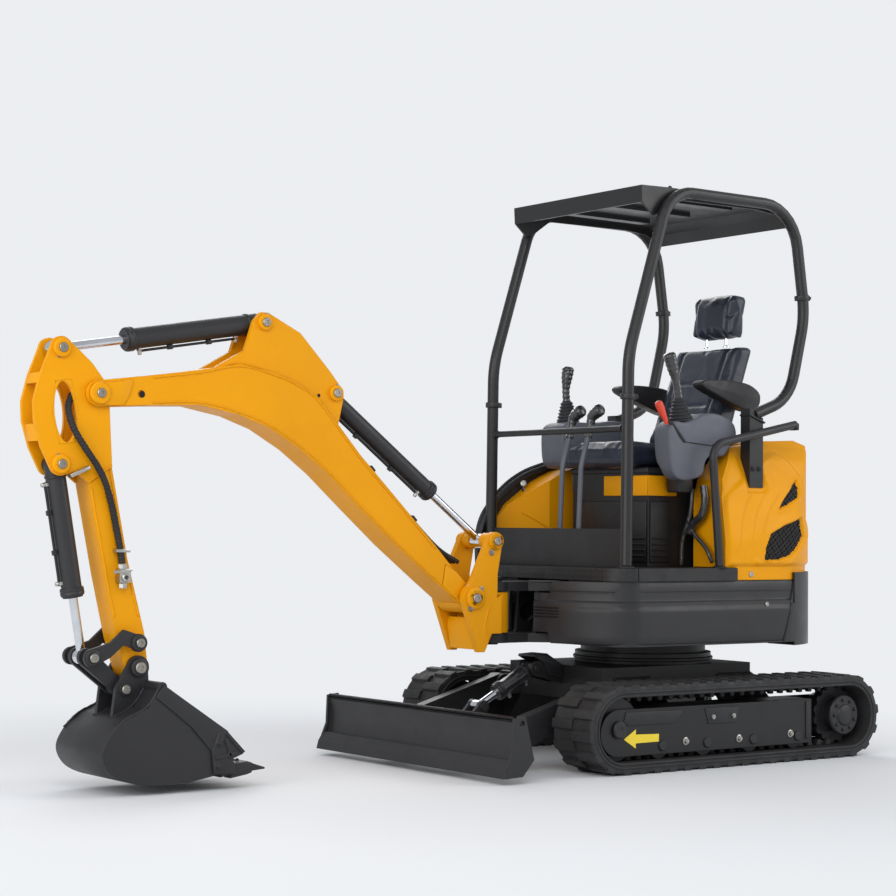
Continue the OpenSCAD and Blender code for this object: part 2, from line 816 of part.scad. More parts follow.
module swing_post() {
  color(yellow) home() difference() {
    union() {
      // Two cheeks with the boom's foot and the cylinder's rod between them
      xz_pair(cheek_in, cheek_out) {
        translate(foot) circle(58);
        translate(post_pin) circle(36);
        polygon([[890, ear_low[1] + 12], [930, 452], [960, 452], foot + [52, -26], foot + [22, 54],
          post_pin + [34, 12], post_pin + [-36, 0], [868, 760], [868, ear_high[0] - 6]]);
      }
      // Bosses at both pins
      xz_pair(cheek_out, cheek_out + 12) {
        translate(foot) circle(30);
        translate(post_pin) circle(32);
      }
      xz_pair(30 + side, cheek_in) translate(post_pin) circle(32);
      // Knuckle that turns between the bracket's ears
      translate([swing_x, 0, ear_low[1] + side]) cylinder(r = 66, h = ear_high[0] - ear_low[1] - 2 * side);
      xz(-cheek_out, cheek_out) polygon([[swing_x + 30, ear_low[1] + side], [906, ear_low[1] + side],
        [938, 560], [906, ear_high[0] - side - 40], [swing_x + 30, ear_high[0] - side - 10]]);
      ypin(foot, pin_r, -cheek_out, cheek_out);
    }
    translate([swing_x, 0, 400]) cylinder(r = swing_pin_r + gap, h = 400);
  }
}

// Boom

boom_top = [[2410, 1478], [2217, 1506], [2050, 1538], [1900, 1512], [1800, 1480], [1698, 1420],
  [1513, 1217], [1324, 1037], [1150, 868], foot + [30, 58]];
boom_low = [foot + [58, -20], [1163, 738], [1340, 872], [1511, 1015], [1660, 1142], [1785, 1232], [1920, 1306],
  [2047, 1349], [2215, 1379], [2410, 1371]];
boom_outline = concat(boom_low, boom_top);
lug_in = arm_cyl_r + side;

module boom() {
  color(yellow) home() difference() {
    union() {
      difference() {
        xz(-boom_hw, boom_hw) polygon(boom_outline);
        xz(-boom_hw + boom_wall, boom_hw - boom_wall)
          polygon(inset(boom_outline, boom_wall));
      }
      xz(-boom_hw, boom_hw) translate(foot) circle(60);
      // Fork at the arm's pivot
      xz_pair(arm_hw + 5 + side, boom_hw) {
        translate(tip) circle(46);
        polygon([[2410, 1371], tip + [0, -46], tip + [0, 46], [2470, 1470], [2400, 1478], [2400, 1372]]);
      }
      xz(-boom_hw, boom_hw) polygon([[2396, 1372], [2420, 1371.4], [2420, 1476], [2396, 1479]]);
      // Lug plates for the boom cylinder and the arm cylinder
      xz_pair(lug_in, lug_in + 20) polygon([[2148, 1500], [2148, 1520], [2022, 1591], [1985, 1703],
        [1955, 1735], [1925, 1735], [1783, 1668], [1647, 1530], [1586, 1460], [1585, 1430], [1610, 1320],
        [1800, 1460], [1960, 1500]]);
      xz_pair(lug_in + 20, lug_in + 30) {
        translate(boom_lug) circle(28);
        translate(stick_lug) circle(28);
      }
      ypin(boom_lug, pin_r, -lug_in - 34, lug_in + 34);
      ypin(stick_lug, pin_r, -lug_in - 34, lug_in + 34);
      ypin(tip, pin_r, -boom_hw - 14, boom_hw + 14);
      xz_pair(boom_hw, boom_hw + 8) translate(tip) circle(30);
    }
    ypin(foot, pin_r + gap, -200, 200);
    ypin([2456, 1408], lift_r, -200, 200);
    // Room for the arm between the fork's plates
    xz(-arm_hw - 5 - side, arm_hw + 5 + side) translate(tip) difference() {
      circle(124);
      circle(pin_r);
    }
  }
}

module boom_barrel() {
  color(dark) home() barrel(boom_lug, post_pin, 620, boom_cyl_r, 30, lug_in - side, rod_r + gap, pin_r + gap);
}

module boom_rod() {
  color(steel) home() rod(boom_lug, post_pin, 330, rod_r, 28, 30);
}

// Arm

arm_rear = [[2405, 450], [2416, 560], [2487, 819], [2560, 1171], [2568, 1300]];
arm_front = [[2660, 1130], [2576, 766], [2522, 535], [2492, 440]];
arm_outline = concat([[2440, 402], [2460, 402]], [[2488, 430]], [[2524, 540], [2578, 766], [2648, 1100],
  [2660, 1180]], [[2590, 1200], [2560, 1171], [2487, 819], [2416, 560], [2402, 450]]);
yoke_hw = arm_hw + 5;
yoke_t = 14;

module arm() {
  color(yellow) home() difference() {
    union() {
      difference() {
        xz(-arm_hw, arm_hw) polygon(arm_outline);
        xz(-arm_hw + boom_wall, arm_hw - boom_wall) polygon([[2450, 580], [2500, 570], [2565, 770],
          [2625, 1060], [2580, 1150], [2500, 819]]);
      }
      xz(-arm_hw, arm_hw) translate(bucket_piv) circle(42);
      xz_pair(yoke_hw - yoke_t, yoke_hw) {
        translate(yoke_top) circle(40);
        translate(yoke_low) circle(40);
        translate(tip) circle(52);
        difference() {
          polygon([[2556, 1150], [2566, 1300], [2574, 1430], [2640, 1510], yoke_top + [-26, 30],
            yoke_top + [34, 20], [2838, 1460], [yoke_front, 1370], [yoke_front - 4, 1300], [2830, 1210],
            yoke_low + [36, -18], yoke_low + [-20, -36], [2700, 1130], [2648, 1090]]);
          polygon([[2700, 1230], [2760, 1220], [2790, 1330], [2780, 1440], [2720, 1450], [2690, 1340]]);
        }
      }
      ypin(tip, 40, -yoke_hw, yoke_hw);
      xz_pair(yoke_hw, yoke_hw + 8) {
        translate(yoke_top) circle(28);
        translate(yoke_low) circle(28);
      }
      ypin(yoke_low, pin_r, -yoke_hw - 12, yoke_hw + 12);
      // Collars that keep the bucket's ears and the guide links apart
      xz_pair(arm_hw, ear_in + ear_t + 3) translate(link_g) circle(28);
      ypin(bucket_piv, pin_r, -ear_in - ear_t - 16, ear_in + ear_t + 16);
    }
    ypin(tip, pin_r + gap, -200, 200);
    ypin(link_g, pin_r + gap, -200, 200);
  }
}

module arm_barrel() {
  color(dark) home() barrel(stick_lug, yoke_top, 558, arm_cyl_r, 32, lug_in - side, rod_r + gap, pin_r + gap);
}

module arm_rod() {
  color(steel) home() rod(stick_lug, yoke_top, 380, rod_r, 30, 30);
}

module bucket_barrel() {
  color(dark) home() barrel(yoke_low, link_k, 471, bucket_cyl_r, 30, bucket_cyl_r, rod_r + gap, pin_r + gap);
}

module bucket_rod() {
  color(steel) home() rod(yoke_low, link_k, 260, rod_r, 28, 20);
}

// Bucket linkage

ear_in = arm_hw + 2;
ear_t = 16;
guide_in = ear_in + ear_t + side;
guide_t = 14;

module guide_link() {
  color(dark) home() {
    xz_pair(guide_in, guide_in + guide_t) {
      translate(link_g) circle(32);
      translate(link_k) circle(32);
      polygon([link_g + [4, 30], link_g + [-6, -30], link_g + [60, -6], link_k + [-70, 0], link_k + [-8, -30],
        link_k + [8, 30], link_k + [-70, 52], link_g + [60, 48]]);
    }
    ypin(link_g, pin_r, -guide_in - guide_t - 10, guide_in + guide_t + 10);
    xz_pair(20 + side, guide_in + guide_t + 10) translate(link_k) circle(pin_r);
  }
}

push_in = 20 + side;
push_t = 18;

module push_link() {
  color(dark) home() difference() {
    union() {
      xz_pair(push_in, push_in + push_t) {
        translate(link_k) circle(32);
        translate(link_q) circle(26);
        polygon([link_k + [-18, 26], link_q + [-19, 17], link_q + [19, -17], link_k + [22, -24]]);
      }
      ypin(link_q, 24, -push_in - push_t, push_in + push_t);
    }
    ypin(link_k, pin_r + gap, -100, 100);
  }
}

module bucket_side2d() {
  polygon([[2408, 386], [2464, 306], [2552, 264], [2612, 214], [2640, 150], [2610, 90], [2540, 52], [2440, 34],
    [2300, 36], [2160, 60], [2143, 210]]);
}

module bucket() {
  color(dark) home() difference() {
    union() {
      difference() {
        xz(-bucket_w / 2, bucket_w / 2) bucket_side2d();
        xz(-bucket_w / 2 + bucket_t, bucket_w / 2 - bucket_t)
          polygon([[2398, 378], [2457, 297], [2545, 254], [2602, 208], [2628, 150], [2602, 98], [2536, 62],
            [2440, 44], [2300, 46], [2150, 70], [2100, 210], [2380, 420]]);
      }
      // Lip and teeth
      xz(-bucket_w / 2, bucket_w / 2) polygon([[2170, 46], [2170, 72], [2080, 84], [2070, 70]]);
      for (i = [0:tooth_count - 1]) {
        y = -bucket_w / 2 + 26 + i * (bucket_w - 52) / (tooth_count - 1);
        xz(y - 22, y + 22) polygon([[2130, 44], [2130, 86], [2060, 92], [1985, 72], [1985, 66], [2060, 60]]);
      }
      // Ears
      xz_pair(ear_in, ear_in + ear_t) {
        translate(bucket_piv) circle(42);
        translate(link_q) circle(36);
        polygon([bucket_piv + [-36, 22], [2404, 372], [2460, 302], [2548, 260], link_q + [34, 12],
          bucket_piv + [28, 32]]);
      }
      xz_pair(ear_in + ear_t, ear_in + ear_t + 10) translate(link_q) circle(22);
      // Cross tube along the top edge
      ypin([2410, 376], 18, -bucket_w / 2, bucket_w / 2);
    }
    ypin(bucket_piv, pin_r + gap, -200, 200);
  }
}

// Hydraulic line along the arm

hose_y = arm_hw + 13 + gap;

module arm_hose() {
  color(black) home()
    swept(bend_path([[2560, 1100], [2532, 960], [2512.2, 792]], [0, 400, 0]), 13, hose_y);
}

module service_valve() {
  color(steel) home() difference() {
    translate([2490, arm_hw, 740]) cube([44, 34, 50]);
    ypin([2512, 758], port_r, arm_hw + 14, arm_hw + 40);
  }
}

track_left();
track_right();
track_frame();
idlers();
sprockets();
rollers();
slew_ring();
blade();
blade_barrel();
blade_rod();
platform();
skirts();
counterweight();
floor();
engine_block();
hood();
rear_door();
right_cover();
right_shell();
seat_base();
seat_cushion();
seat_back();
headrest();
armrests();
consoles();
joysticks();
safety_lever();
travel_levers();
front_guard();
handrail();
canopy_left();
canopy_right();
canopy_feet();
roof();
swing_post();
boom();
boom_barrel();
boom_rod();
arm();
arm_barrel();
arm_rod();
bucket_barrel();
bucket_rod();
guide_link();
push_link();
bucket();
arm_hose();
service_valve();
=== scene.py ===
from math import cos, hypot, pi, radians, sin, sqrt

import bmesh
import bpy
from bpy.props import FloatProperty, FloatVectorProperty, IntProperty, PointerProperty
from mathutils import Matrix, Vector
from mathutils.bvhtree import BVHTree


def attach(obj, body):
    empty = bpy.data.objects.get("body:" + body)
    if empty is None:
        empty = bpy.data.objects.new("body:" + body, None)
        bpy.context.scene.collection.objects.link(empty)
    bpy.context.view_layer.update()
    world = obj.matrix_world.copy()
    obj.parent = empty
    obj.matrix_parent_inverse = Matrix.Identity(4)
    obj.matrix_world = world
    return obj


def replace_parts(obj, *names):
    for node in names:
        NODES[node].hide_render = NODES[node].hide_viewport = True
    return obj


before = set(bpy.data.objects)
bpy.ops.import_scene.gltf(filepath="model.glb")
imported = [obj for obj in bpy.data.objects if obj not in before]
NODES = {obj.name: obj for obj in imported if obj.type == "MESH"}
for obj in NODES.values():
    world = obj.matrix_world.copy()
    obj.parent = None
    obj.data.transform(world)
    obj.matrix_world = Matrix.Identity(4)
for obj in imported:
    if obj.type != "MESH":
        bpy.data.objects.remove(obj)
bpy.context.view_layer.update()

bl_info = {
    "name": "Mini excavator dressing",
    "version": (1, 0, 0),
    "blender": (4, 5, 0),
    "location": "View3D > Sidebar > Excavator",
    "description": "Finishes, soft parts and fittings of a compact tracked excavator",
    "category": "Object",
}

# The pieces are drawn in millimetres from the slew axis, as the CAD source is
ORIGIN_X = 1040.0
TO_ROW = Matrix.Scale(0.001, 4) @ Matrix.Translation((-ORIGIN_X, 0, 0))
# Pins and cylinder eyes, as X and Z
BLADE_BAR, BLADE_EYE = (615, 373), (881, 230)
FOOT, POST_PIN, TIP = (980, 666), (880, 891), (2620, 1404)
BOOM_LUG, STICK_LUG = (1622, 1449), (1940, 1698)
YOKE_TOP, YOKE_LOW = (2758, 1558), (2755, 1152)
LINK_K, LINK_G, LINK_Q, BUCKET_PIV = (2635, 479), (2455, 527), (2500, 364), (2446, 439)
# Track axles, and the middle of the opening in the arm's side plate
IDLER_X, SPROCKET_X, AXLE_Z = 648, -609, 172
HOLE_X, HOLE_Z = 2740, 1335
LEFT, UP = (0, 1, 0), (0, 0, 1)
# Camera fitted to the photograph: its place, angles in radians, and focal length and middle row in pixels
CAMERA_AT = (5997.3, 6685.2, 954.9)
CAMERA_YAW, CAMERA_PITCH, CAMERA_ROLL = -2.2086, 0.0425, 0.0095
PHOTO_PIXELS, FOCAL_PIXELS, MIDDLE_ROW = 896, 2092.2, 435.6
SENSOR = 36.0


class ExcavatorColours(bpy.types.PropertyGroup):
    """Colours of the finishes, as they look on a screen."""

    yellow: FloatVectorProperty(name="Yellow paint", description="Boom, arm, hood and tank cover",
                                subtype="COLOR_GAMMA", default=(0.89, 0.60, 0.02), min=0, max=1)
    dark: FloatVectorProperty(name="Dark paint", description="Skirts, blade, bucket and canopy",
                              subtype="COLOR_GAMMA", default=(0.145, 0.145, 0.154), min=0, max=1)
    black: FloatVectorProperty(name="Black paint", description="Frames, floor and guard",
                               subtype="COLOR_GAMMA", default=(0.110, 0.110, 0.116), min=0, max=1)
    rubber: FloatVectorProperty(name="Track rubber", description="Tracks",
                                subtype="COLOR_GAMMA", default=(0.175, 0.175, 0.18), min=0, max=1)
    console: FloatVectorProperty(name="Console plastic", description="Consoles and travel levers",
                                 subtype="COLOR_GAMMA", default=(0.335, 0.345, 0.385), min=0, max=1)
    grip: FloatVectorProperty(name="Safety lever", description="Grip of the safety lever",
                              subtype="COLOR_GAMMA", default=(0.85, 0.27, 0.17), min=0, max=1)
    cover: FloatVectorProperty(name="Seat cover", description="Seat, headrest and armrests",
                               subtype="COLOR_GAMMA", default=(0.15, 0.17, 0.22), min=0, max=1)
    ground: FloatVectorProperty(name="Backdrop", description="Floor and backdrop",
                                subtype="COLOR_GAMMA", default=(0.925, 0.933, 0.945), min=0, max=1)


class ExcavatorSizes(bpy.types.PropertyGroup):
    """Sizes of the fittings that are added to the CAD parts."""

    weld: FloatProperty(name="Weld bead", description="Radius of a weld bead", default=0.0035,
                        min=0.001, max=0.01, unit="LENGTH")
    bolt: FloatProperty(name="Bolt", description="Width across a bolt head's flats", default=0.024,
                        min=0.008, max=0.04, unit="LENGTH")
    hose: FloatProperty(name="Hose", description="Radius of a hydraulic hose", default=0.009,
                        min=0.004, max=0.02, unit="LENGTH")
    grille_step: FloatProperty(name="Grille step", description="Distance between the wires of a grille",
                               default=0.017, min=0.006, max=0.03, unit="LENGTH")
    pad_steps: IntProperty(name="Pad steps", description="Steps of the pads' cloth simulation", default=18,
                           min=4, max=40)


def look():
    return bpy.context.scene.excavator_colours


def size(name):
    """A fitting's size in millimetres."""
    return getattr(bpy.context.scene.excavator_sizes, name) * 1000


def linear(colour):
    return [c / 12.92 if c <= 0.04045 else ((c + 0.055) / 1.055) ** 2.4 for c in colour[:3]]


def shade(colour, factor):
    return [min(1.0, c * factor) for c in linear(colour)] + [1.0]


# Finishes

FINISHES = {}


class Recipe:
    """Node tree of one finish, with the Principled shader at its end."""

    def __init__(self, name):
        self.material = bpy.data.materials.new(name)
        self.material.use_nodes = True
        self.tree = self.material.node_tree
        self.shader = self.tree.nodes["Principled BSDF"]
        self.place = self.add("ShaderNodeTexCoord").outputs["Object"]
        FINISHES[name] = self.material

    def add(self, kind, inputs=None, **settings):
        node = self.tree.nodes.new(kind)
        for key, value in settings.items():
            setattr(node, key, value)
        for key, value in (inputs or {}).items():
            self.feed(node.inputs[key], value)
        return node

    def feed(self, socket, value):
        if isinstance(value, bpy.types.NodeSocket):
            self.tree.links.new(value, socket)
        else:
            socket.default_value = value

    def set(self, **values):
        for key, value in values.items():
            self.feed(self.shader.inputs[key.replace("_", " ")], value)

    def noise(self, scale, detail=3.0, rough=0.55, where=None):
        return self.add("ShaderNodeTexNoise", {"Vector": where or self.place, "Scale": scale,
                                               "Detail": detail, "Roughness": rough}).outputs["Fac"]

    def stretched(self, x, y, z):
        return self.add("ShaderNodeMapping", {"Vector": self.place, "Scale": (x, y, z)}).outputs["Vector"]

    def cells(self, scale, feature="F1", where=None):
        node = self.add("ShaderNodeTexVoronoi", {"Vector": where or self.place, "Scale": scale},
                        feature=feature)
        return node.outputs["Distance"]

    def remap(self, value, low, high, to_low, to_high):
        node = self.add("ShaderNodeMapRange", {"Value": value, "From Min": low, "From Max": high,
                                               "To Min": to_low, "To Max": to_high})
        return node.outputs["Result"]

    def mix(self, factor, first, second):
        node = self.add("ShaderNodeMix", data_type="RGBA")
        self.feed(node.inputs[0], factor)
        self.feed(node.inputs[6], first)
        self.feed(node.inputs[7], second)
        return node.outputs[2]

    def bump(self, height, strength, distance, normal=None):
        node = self.add("ShaderNodeBump", {"Height": height, "Strength": strength, "Distance": distance})
        if normal is not None:
            self.feed(node.inputs["Normal"], normal)
        return node.outputs["Normal"]

    def rounded(self, radius):
        """Normal of softly rounded edges, and a mask that is 1 along them."""
        normal = self.add("ShaderNodeBevel", {"Radius": radius}, samples=4).outputs["Normal"]
        flat = self.add("ShaderNodeNewGeometry").outputs["Normal"]
        dot = self.add("ShaderNodeVectorMath", {0: normal, 1: flat},
                       operation="DOT_PRODUCT").outputs["Value"]
        return normal, self.remap(dot, 0.86, 0.995, 1.0, 0.0)


def painted(name, colour, rough=0.38, spread=0.06, peel=0.04, coat=0.25, edge=0.3, radius=0.004,
            peel_scale=420.0, shine=0.4):
    """Paint with slight cloudiness, orange peel, softly rounded edges and a painted highlight along them: a
    patchy lighter line whose strength is edge.
    """
    r = Recipe(name)
    normal, line = r.rounded(radius)
    cloud = r.noise(2.6, 5.0)
    base = r.mix(r.remap(cloud, 0.3, 0.7, 0.0, 1.0), shade(colour, 1 - spread), shade(colour, 1 + spread))
    # Painted highlight: the mask of the rounded edges, broken up by noise and scaled by edge, mixes a
    # lighter colour in along them
    edge_highlight = r.add("ShaderNodeMath", {0: line, 1: r.remap(r.noise(38.0, 4.0), 0.35, 0.65, 0.15, 1.0)},
                 operation="MULTIPLY").outputs[0]
    edge_highlight = r.add("ShaderNodeMath", {0: edge_highlight, 1: edge}, operation="MULTIPLY").outputs[0]
    edge_highlight_colour = [min(1.0, c * 1.5 + 0.03) for c in linear(colour)] + [1.0]
    r.set(Base_Color=r.mix(edge_highlight, base, edge_highlight_colour),
          Roughness=r.remap(r.noise(9.0, 5.0), 0.3, 0.7, rough - 0.06, rough + 0.08),
          Normal=r.bump(r.noise(peel_scale, 2.0), peel, 0.002, normal),
          Coat_Weight=coat, Coat_Roughness=0.18, Specular_IOR_Level=shine)
    return r.material


def rubber(name, colour):
    """Moulded rubber with a fine grain, a slight bloom and a painted highlight along its rounded edges."""
    r = Recipe(name)
    normal, line = r.rounded(0.004)
    bloom = r.mix(r.remap(r.noise(7.0, 6.0), 0.35, 0.7, 0.0, 1.0), shade(colour, 0.78), shade(colour, 1.2))
    grain = r.add("ShaderNodeMath", {0: r.noise(260.0, 3.0), 1: r.noise(36.0, 4.0)},
                  operation="ADD").outputs[0]
    # Painted highlight: the colour is lightened along the rounded edges
    r.set(Base_Color=r.mix(r.add("ShaderNodeMath", {0: line, 1: 0.35}, operation="MULTIPLY").outputs[0],
                           bloom, shade(colour, 1.9)),
          Roughness=r.remap(r.noise(20.0, 4.0), 0.3, 0.7, 0.52, 0.74),
          Normal=r.bump(grain, 0.16, 0.003, normal), Specular_IOR_Level=0.4)
    return r.material


def metal(name, colour, rough=0.2, brushed=(40.0, 40.0, 900.0), depth=0.05):
    """Bare metal with fine lines along one direction."""
    r = Recipe(name)
    lines = r.noise(1.0, 4.0, where=r.stretched(*brushed))
    r.set(Base_Color=r.mix(r.remap(r.noise(12.0, 3.0), 0.3, 0.7, 0.0, 1.0), shade(colour, 0.88),
                           shade(colour, 1.06)), Metallic=1.0,
          Roughness=r.remap(lines, 0.3, 0.7, rough * 0.7, rough * 1.5), Normal=r.bump(lines, depth, 0.001))
    return r.material


def moulded(name, colour, rough=0.5, grain=0.12, grain_scale=900.0, radius=0.004):
    """Moulded plastic with a leather-like grain and a painted highlight along its rounded edges."""
    r = Recipe(name)
    normal, line = r.rounded(radius)
    tone = r.mix(r.remap(r.noise(5.0, 4.0), 0.3, 0.7, 0.0, 1.0), shade(colour, 0.9), shade(colour, 1.1))
    # Painted highlight: the colour is lightened along the rounded edges
    r.set(Base_Color=r.mix(r.add("ShaderNodeMath", {0: line, 1: 0.25}, operation="MULTIPLY").outputs[0],
                           tone, shade(colour, 1.7)),
          Roughness=r.remap(r.noise(30.0, 4.0), 0.3, 0.7, rough - 0.08, rough + 0.1),
          Normal=r.bump(r.cells(grain_scale), grain, 0.001, normal))
    return r.material


def wrapped_vinyl(name, colour):
    """Dark vinyl under a tight clear film, whose creases are painted pale blue-grey: partly the film's haze,
    partly a painted highlight.
    """
    r = Recipe(name)
    warp = r.add("ShaderNodeTexNoise", {"Vector": r.place, "Scale": 3.2, "Detail": 3.0}).outputs["Color"]
    bent = r.add("ShaderNodeMix", {0: 0.22}, data_type="VECTOR")
    r.feed(bent.inputs[4], r.stretched(1.0, 1.0, 0.24))
    r.feed(bent.inputs[5], warp)
    ridge = r.add("ShaderNodeTexNoise", {"Vector": bent.outputs[1], "Scale": 13.0, "Detail": 4.0,
                                         "Roughness": 0.5}, noise_type="RIDGED_MULTIFRACTAL").outputs["Fac"]
    crease = r.remap(ridge, 0.7, 1.2, 0.0, 1.0)
    grain = r.cells(620.0)
    cloth = r.mix(r.remap(r.noise(5.0, 4.0), 0.3, 0.7, 0.0, 1.0), shade(colour, 0.7), shade(colour, 1.3))
    film = r.add("ShaderNodeBump", {"Height": ridge, "Strength": 0.55, "Distance": 0.012}).outputs["Normal"]
    # The creases are painted pale blue-grey in the colour: partly the film's haze, partly a painted
    # highlight
    r.set(Base_Color=r.mix(r.add("ShaderNodeMath", {0: crease, 1: 0.6}, operation="MULTIPLY").outputs[0],
                           cloth, (0.46, 0.5, 0.58, 1.0)), Roughness=r.remap(crease, 0.0, 1.0, 0.42, 0.2),
          Normal=r.bump(grain, 0.15, 0.0015, film), Coat_Weight=0.3, Coat_Roughness=0.12, Coat_Normal=film,
          Specular_IOR_Level=0.25)
    return r.material


def film_metal(name, colour):
    """Dark cylinder paint under crinkled packing film, whose creases are painted pale as highlights."""
    r = Recipe(name)
    ridge = r.add("ShaderNodeTexNoise", {"Vector": r.stretched(1.0, 1.6, 1.0), "Scale": 26.0, "Detail": 4.0},
                  noise_type="RIDGED_MULTIFRACTAL").outputs["Fac"]
    crease = r.remap(ridge, 0.5, 1.1, 0.0, 1.0)
    film = r.bump(ridge, 0.5, 0.01)
    # Painted highlight: the film's creases lighten the colour to a pale grey
    r.set(Base_Color=r.mix(r.add("ShaderNodeMath", {0: crease, 1: 0.7}, operation="MULTIPLY").outputs[0],
                           shade(colour, 1.1), (0.56, 0.59, 0.64, 1.0)),
          Roughness=0.3, Normal=film, Coat_Weight=0.8, Coat_Roughness=0.12, Coat_Normal=film)
    return r.material


def chequered(name, colour):
    """Floor covering with small raised studs, their tops painted lighter and the hollows between them darker
    as painted light and shade.
    """
    r = Recipe(name)
    normal, line = r.rounded(0.004)
    stud = r.add("ShaderNodeTexVoronoi",
                 {"Vector": r.place, "Scale": 46.0, "Randomness": 0.0}).outputs["Distance"]
    height = r.remap(stud, 0.18, 0.34, 1.0, 0.0)
    # Painted light and shade: the studs' tops are lighter and the hollows between them darker
    r.set(Base_Color=r.mix(height, shade(colour, 0.8), shade(colour, 1.15)),
          Roughness=r.remap(r.noise(14.0, 4.0), 0.3, 0.7, 0.45, 0.65),
          Normal=r.bump(height, 0.25, 0.003, normal))
    return r.material


def make_finishes():
    c = look()
    painted("yellow_paint", c.yellow, rough=0.4, spread=0.05, coat=0.0, edge=0.35, shine=0.14)
    painted("dark_paint", c.dark, rough=0.46, spread=0.08, coat=0.08, edge=0.4, peel=0.05)
    painted("dark_cast", c.dark, rough=0.46, spread=0.09, coat=0.15, edge=0.35, peel=0.12, peel_scale=190.0,
            radius=0.007)
    painted("canopy_paint", [v * 0.72 for v in c.dark], rough=0.42, spread=0.08, coat=0.15, edge=0.4,
            peel=0.05)
    painted("frame_black", c.black, rough=0.48, spread=0.1, coat=0.06, edge=0.4)
    painted("tool_paint", [v * 0.97 for v in c.dark], rough=0.5, spread=0.1, coat=0.05, edge=0.5, peel=0.08)
    rubber("track_rubber", c.rubber)
    rubber("hose_rubber", [v * 0.75 for v in c.rubber])
    metal("rod_chrome", (0.86, 0.87, 0.89), rough=0.13, depth=0.02)
    metal("zinc", (0.72, 0.72, 0.7), rough=0.32)
    metal("pin_steel", (0.62, 0.6, 0.57), rough=0.34, brushed=(300.0, 60.0, 300.0))
    moulded("black_plastic", (0.11, 0.11, 0.12))
    moulded("grey_plastic", c.console)
    moulded("red_plastic", c.grip, rough=0.35, grain=0.04)
    moulded("boot_rubber", (0.16, 0.165, 0.18), rough=0.6)
    painted("grey_paint", c.console, rough=0.4)
    painted("arrow_paint", (0.95, 0.84, 0.2), rough=0.5, spread=0.03, radius=0.001)
    # Painted shade: a near-black finish laid in holes, slots, seams and behind the grilles, where there is
    # only shade
    painted("painted_gap_shade", (0.035, 0.035, 0.04), rough=0.7, coat=0.0, edge=0.0)
    wrapped_vinyl("seat_cover", c.cover)
    film_metal("film_wrap", c.dark)
    chequered("floor_cover", c.black)


# Mesh helpers: each adds to a mesh in millimetres from the slew axis

def up_to(axis):
    """Turns +Z to the given direction."""
    return Vector(UP).rotation_difference(Vector(axis).normalized()).to_matrix().to_4x4()


def box(bm, low, high, bevel=0.0, segments=2, turn=None):
    low, high = Vector(low), Vector(high)
    span = Matrix.Diagonal((*(high - low), 1.0))
    matrix = Matrix.Translation((low + high) / 2) @ (turn or Matrix.Identity(4)) @ span
    made = bmesh.ops.create_cube(bm, size=1.0, matrix=matrix)["verts"]
    if bevel:
        edges = list({e for v in made for e in v.link_edges})
        bmesh.ops.bevel(bm, geom=edges, offset=bevel, segments=segments, profile=0.5, affect="EDGES")


def prism(bm, outline, y0, y1, bevel=0.0, segments=2):
    """XZ outline between two Y planes."""
    ends = [[bm.verts.new((x, y, z)) for x, z in outline] for y in (y0, y1)]
    n = len(outline)
    faces = [bm.faces.new(ends[0]), bm.faces.new(list(reversed(ends[1])))]
    faces += [bm.faces.new((ends[0][i], ends[1][i], ends[1][(i + 1) % n], ends[0][(i + 1) % n]))
              for i in range(n)]
    bmesh.ops.recalc_face_normals(bm, faces=faces)
    if bevel:
        rim = list({e for f in faces[:2] for e in f.edges})
        bmesh.ops.bevel(bm, geom=rim, offset=bevel, segments=segments, profile=0.5, affect="EDGES")


def turned(bm, profile, at, axis=UP, sides=32):
    """Profile of (radius, height) points turned round an axis."""
    matrix = Matrix.Translation(at) @ up_to(axis)
    rings = []
    for r, h in profile:
        if r <= 0:
            rings.append([bm.verts.new(matrix @ Vector((0, 0, h)))])
        else:
            rings.append([bm.verts.new(matrix @ Vector((r * cos(2 * pi * k / sides),
                                                        r * sin(2 * pi * k / sides), h)))
                          for k in range(sides)])
    for low, high in zip(rings, rings[1:]):
        for k in range(sides):
            j = (k + 1) % sides
            ring = [low[k % len(low)], low[j % len(low)], high[j % len(high)], high[k % len(high)]]
            corner = list(dict.fromkeys(ring))
            if len(corner) > 2:
                bm.faces.new(corner)


def smooth_path(points, steps=8):
    """Catmull-Rom route through the points."""
    pts = [Vector(p) for p in points]
    pts = [pts[0] * 2 - pts[1]] + pts + [pts[-1] * 2 - pts[-2]]
    route = []
    for a, b, c, d in zip(pts, pts[1:], pts[2:], pts[3:]):
        for k in range(steps):
            t = k / steps
            route.append(0.5 * (2 * b + (c - a) * t + (2 * a - 5 * b + 4 * c - d) * t * t
                                + (3 * b - a - 3 * c + d) * t ** 3))
    return route + [pts[-2]]


def tube(bm, path, radius, sides=10):
    """Round bar along a path; radius is a number or a function of the place along it."""
    path = [Vector(p) for p in path]
    n = len(path)
    ways = [(path[min(i + 1, n - 1)] - path[max(i - 1, 0)]).normalized() for i in range(n)]
    side = ways[0].orthogonal().normalized()
    rings, run = [], 0.0
    for i, (point, way) in enumerate(zip(path, ways)):
        if i:
            side = ways[i - 1].rotation_difference(way) @ side
            run += (point - path[i - 1]).length
        other = way.cross(side).normalized()
        r = radius(run) if callable(radius) else radius
        rings.append([bm.verts.new(point + (side * cos(2 * pi * k / sides)
                                            + other * sin(2 * pi * k / sides)) * r)
                      for k in range(sides)])
    for low, high in zip(rings, rings[1:]):
        for k in range(sides):
            j = (k + 1) % sides
            bm.faces.new((low[k], low[j], high[j], high[k]))
    bm.faces.new(list(reversed(rings[0])))
    bm.faces.new(rings[-1])


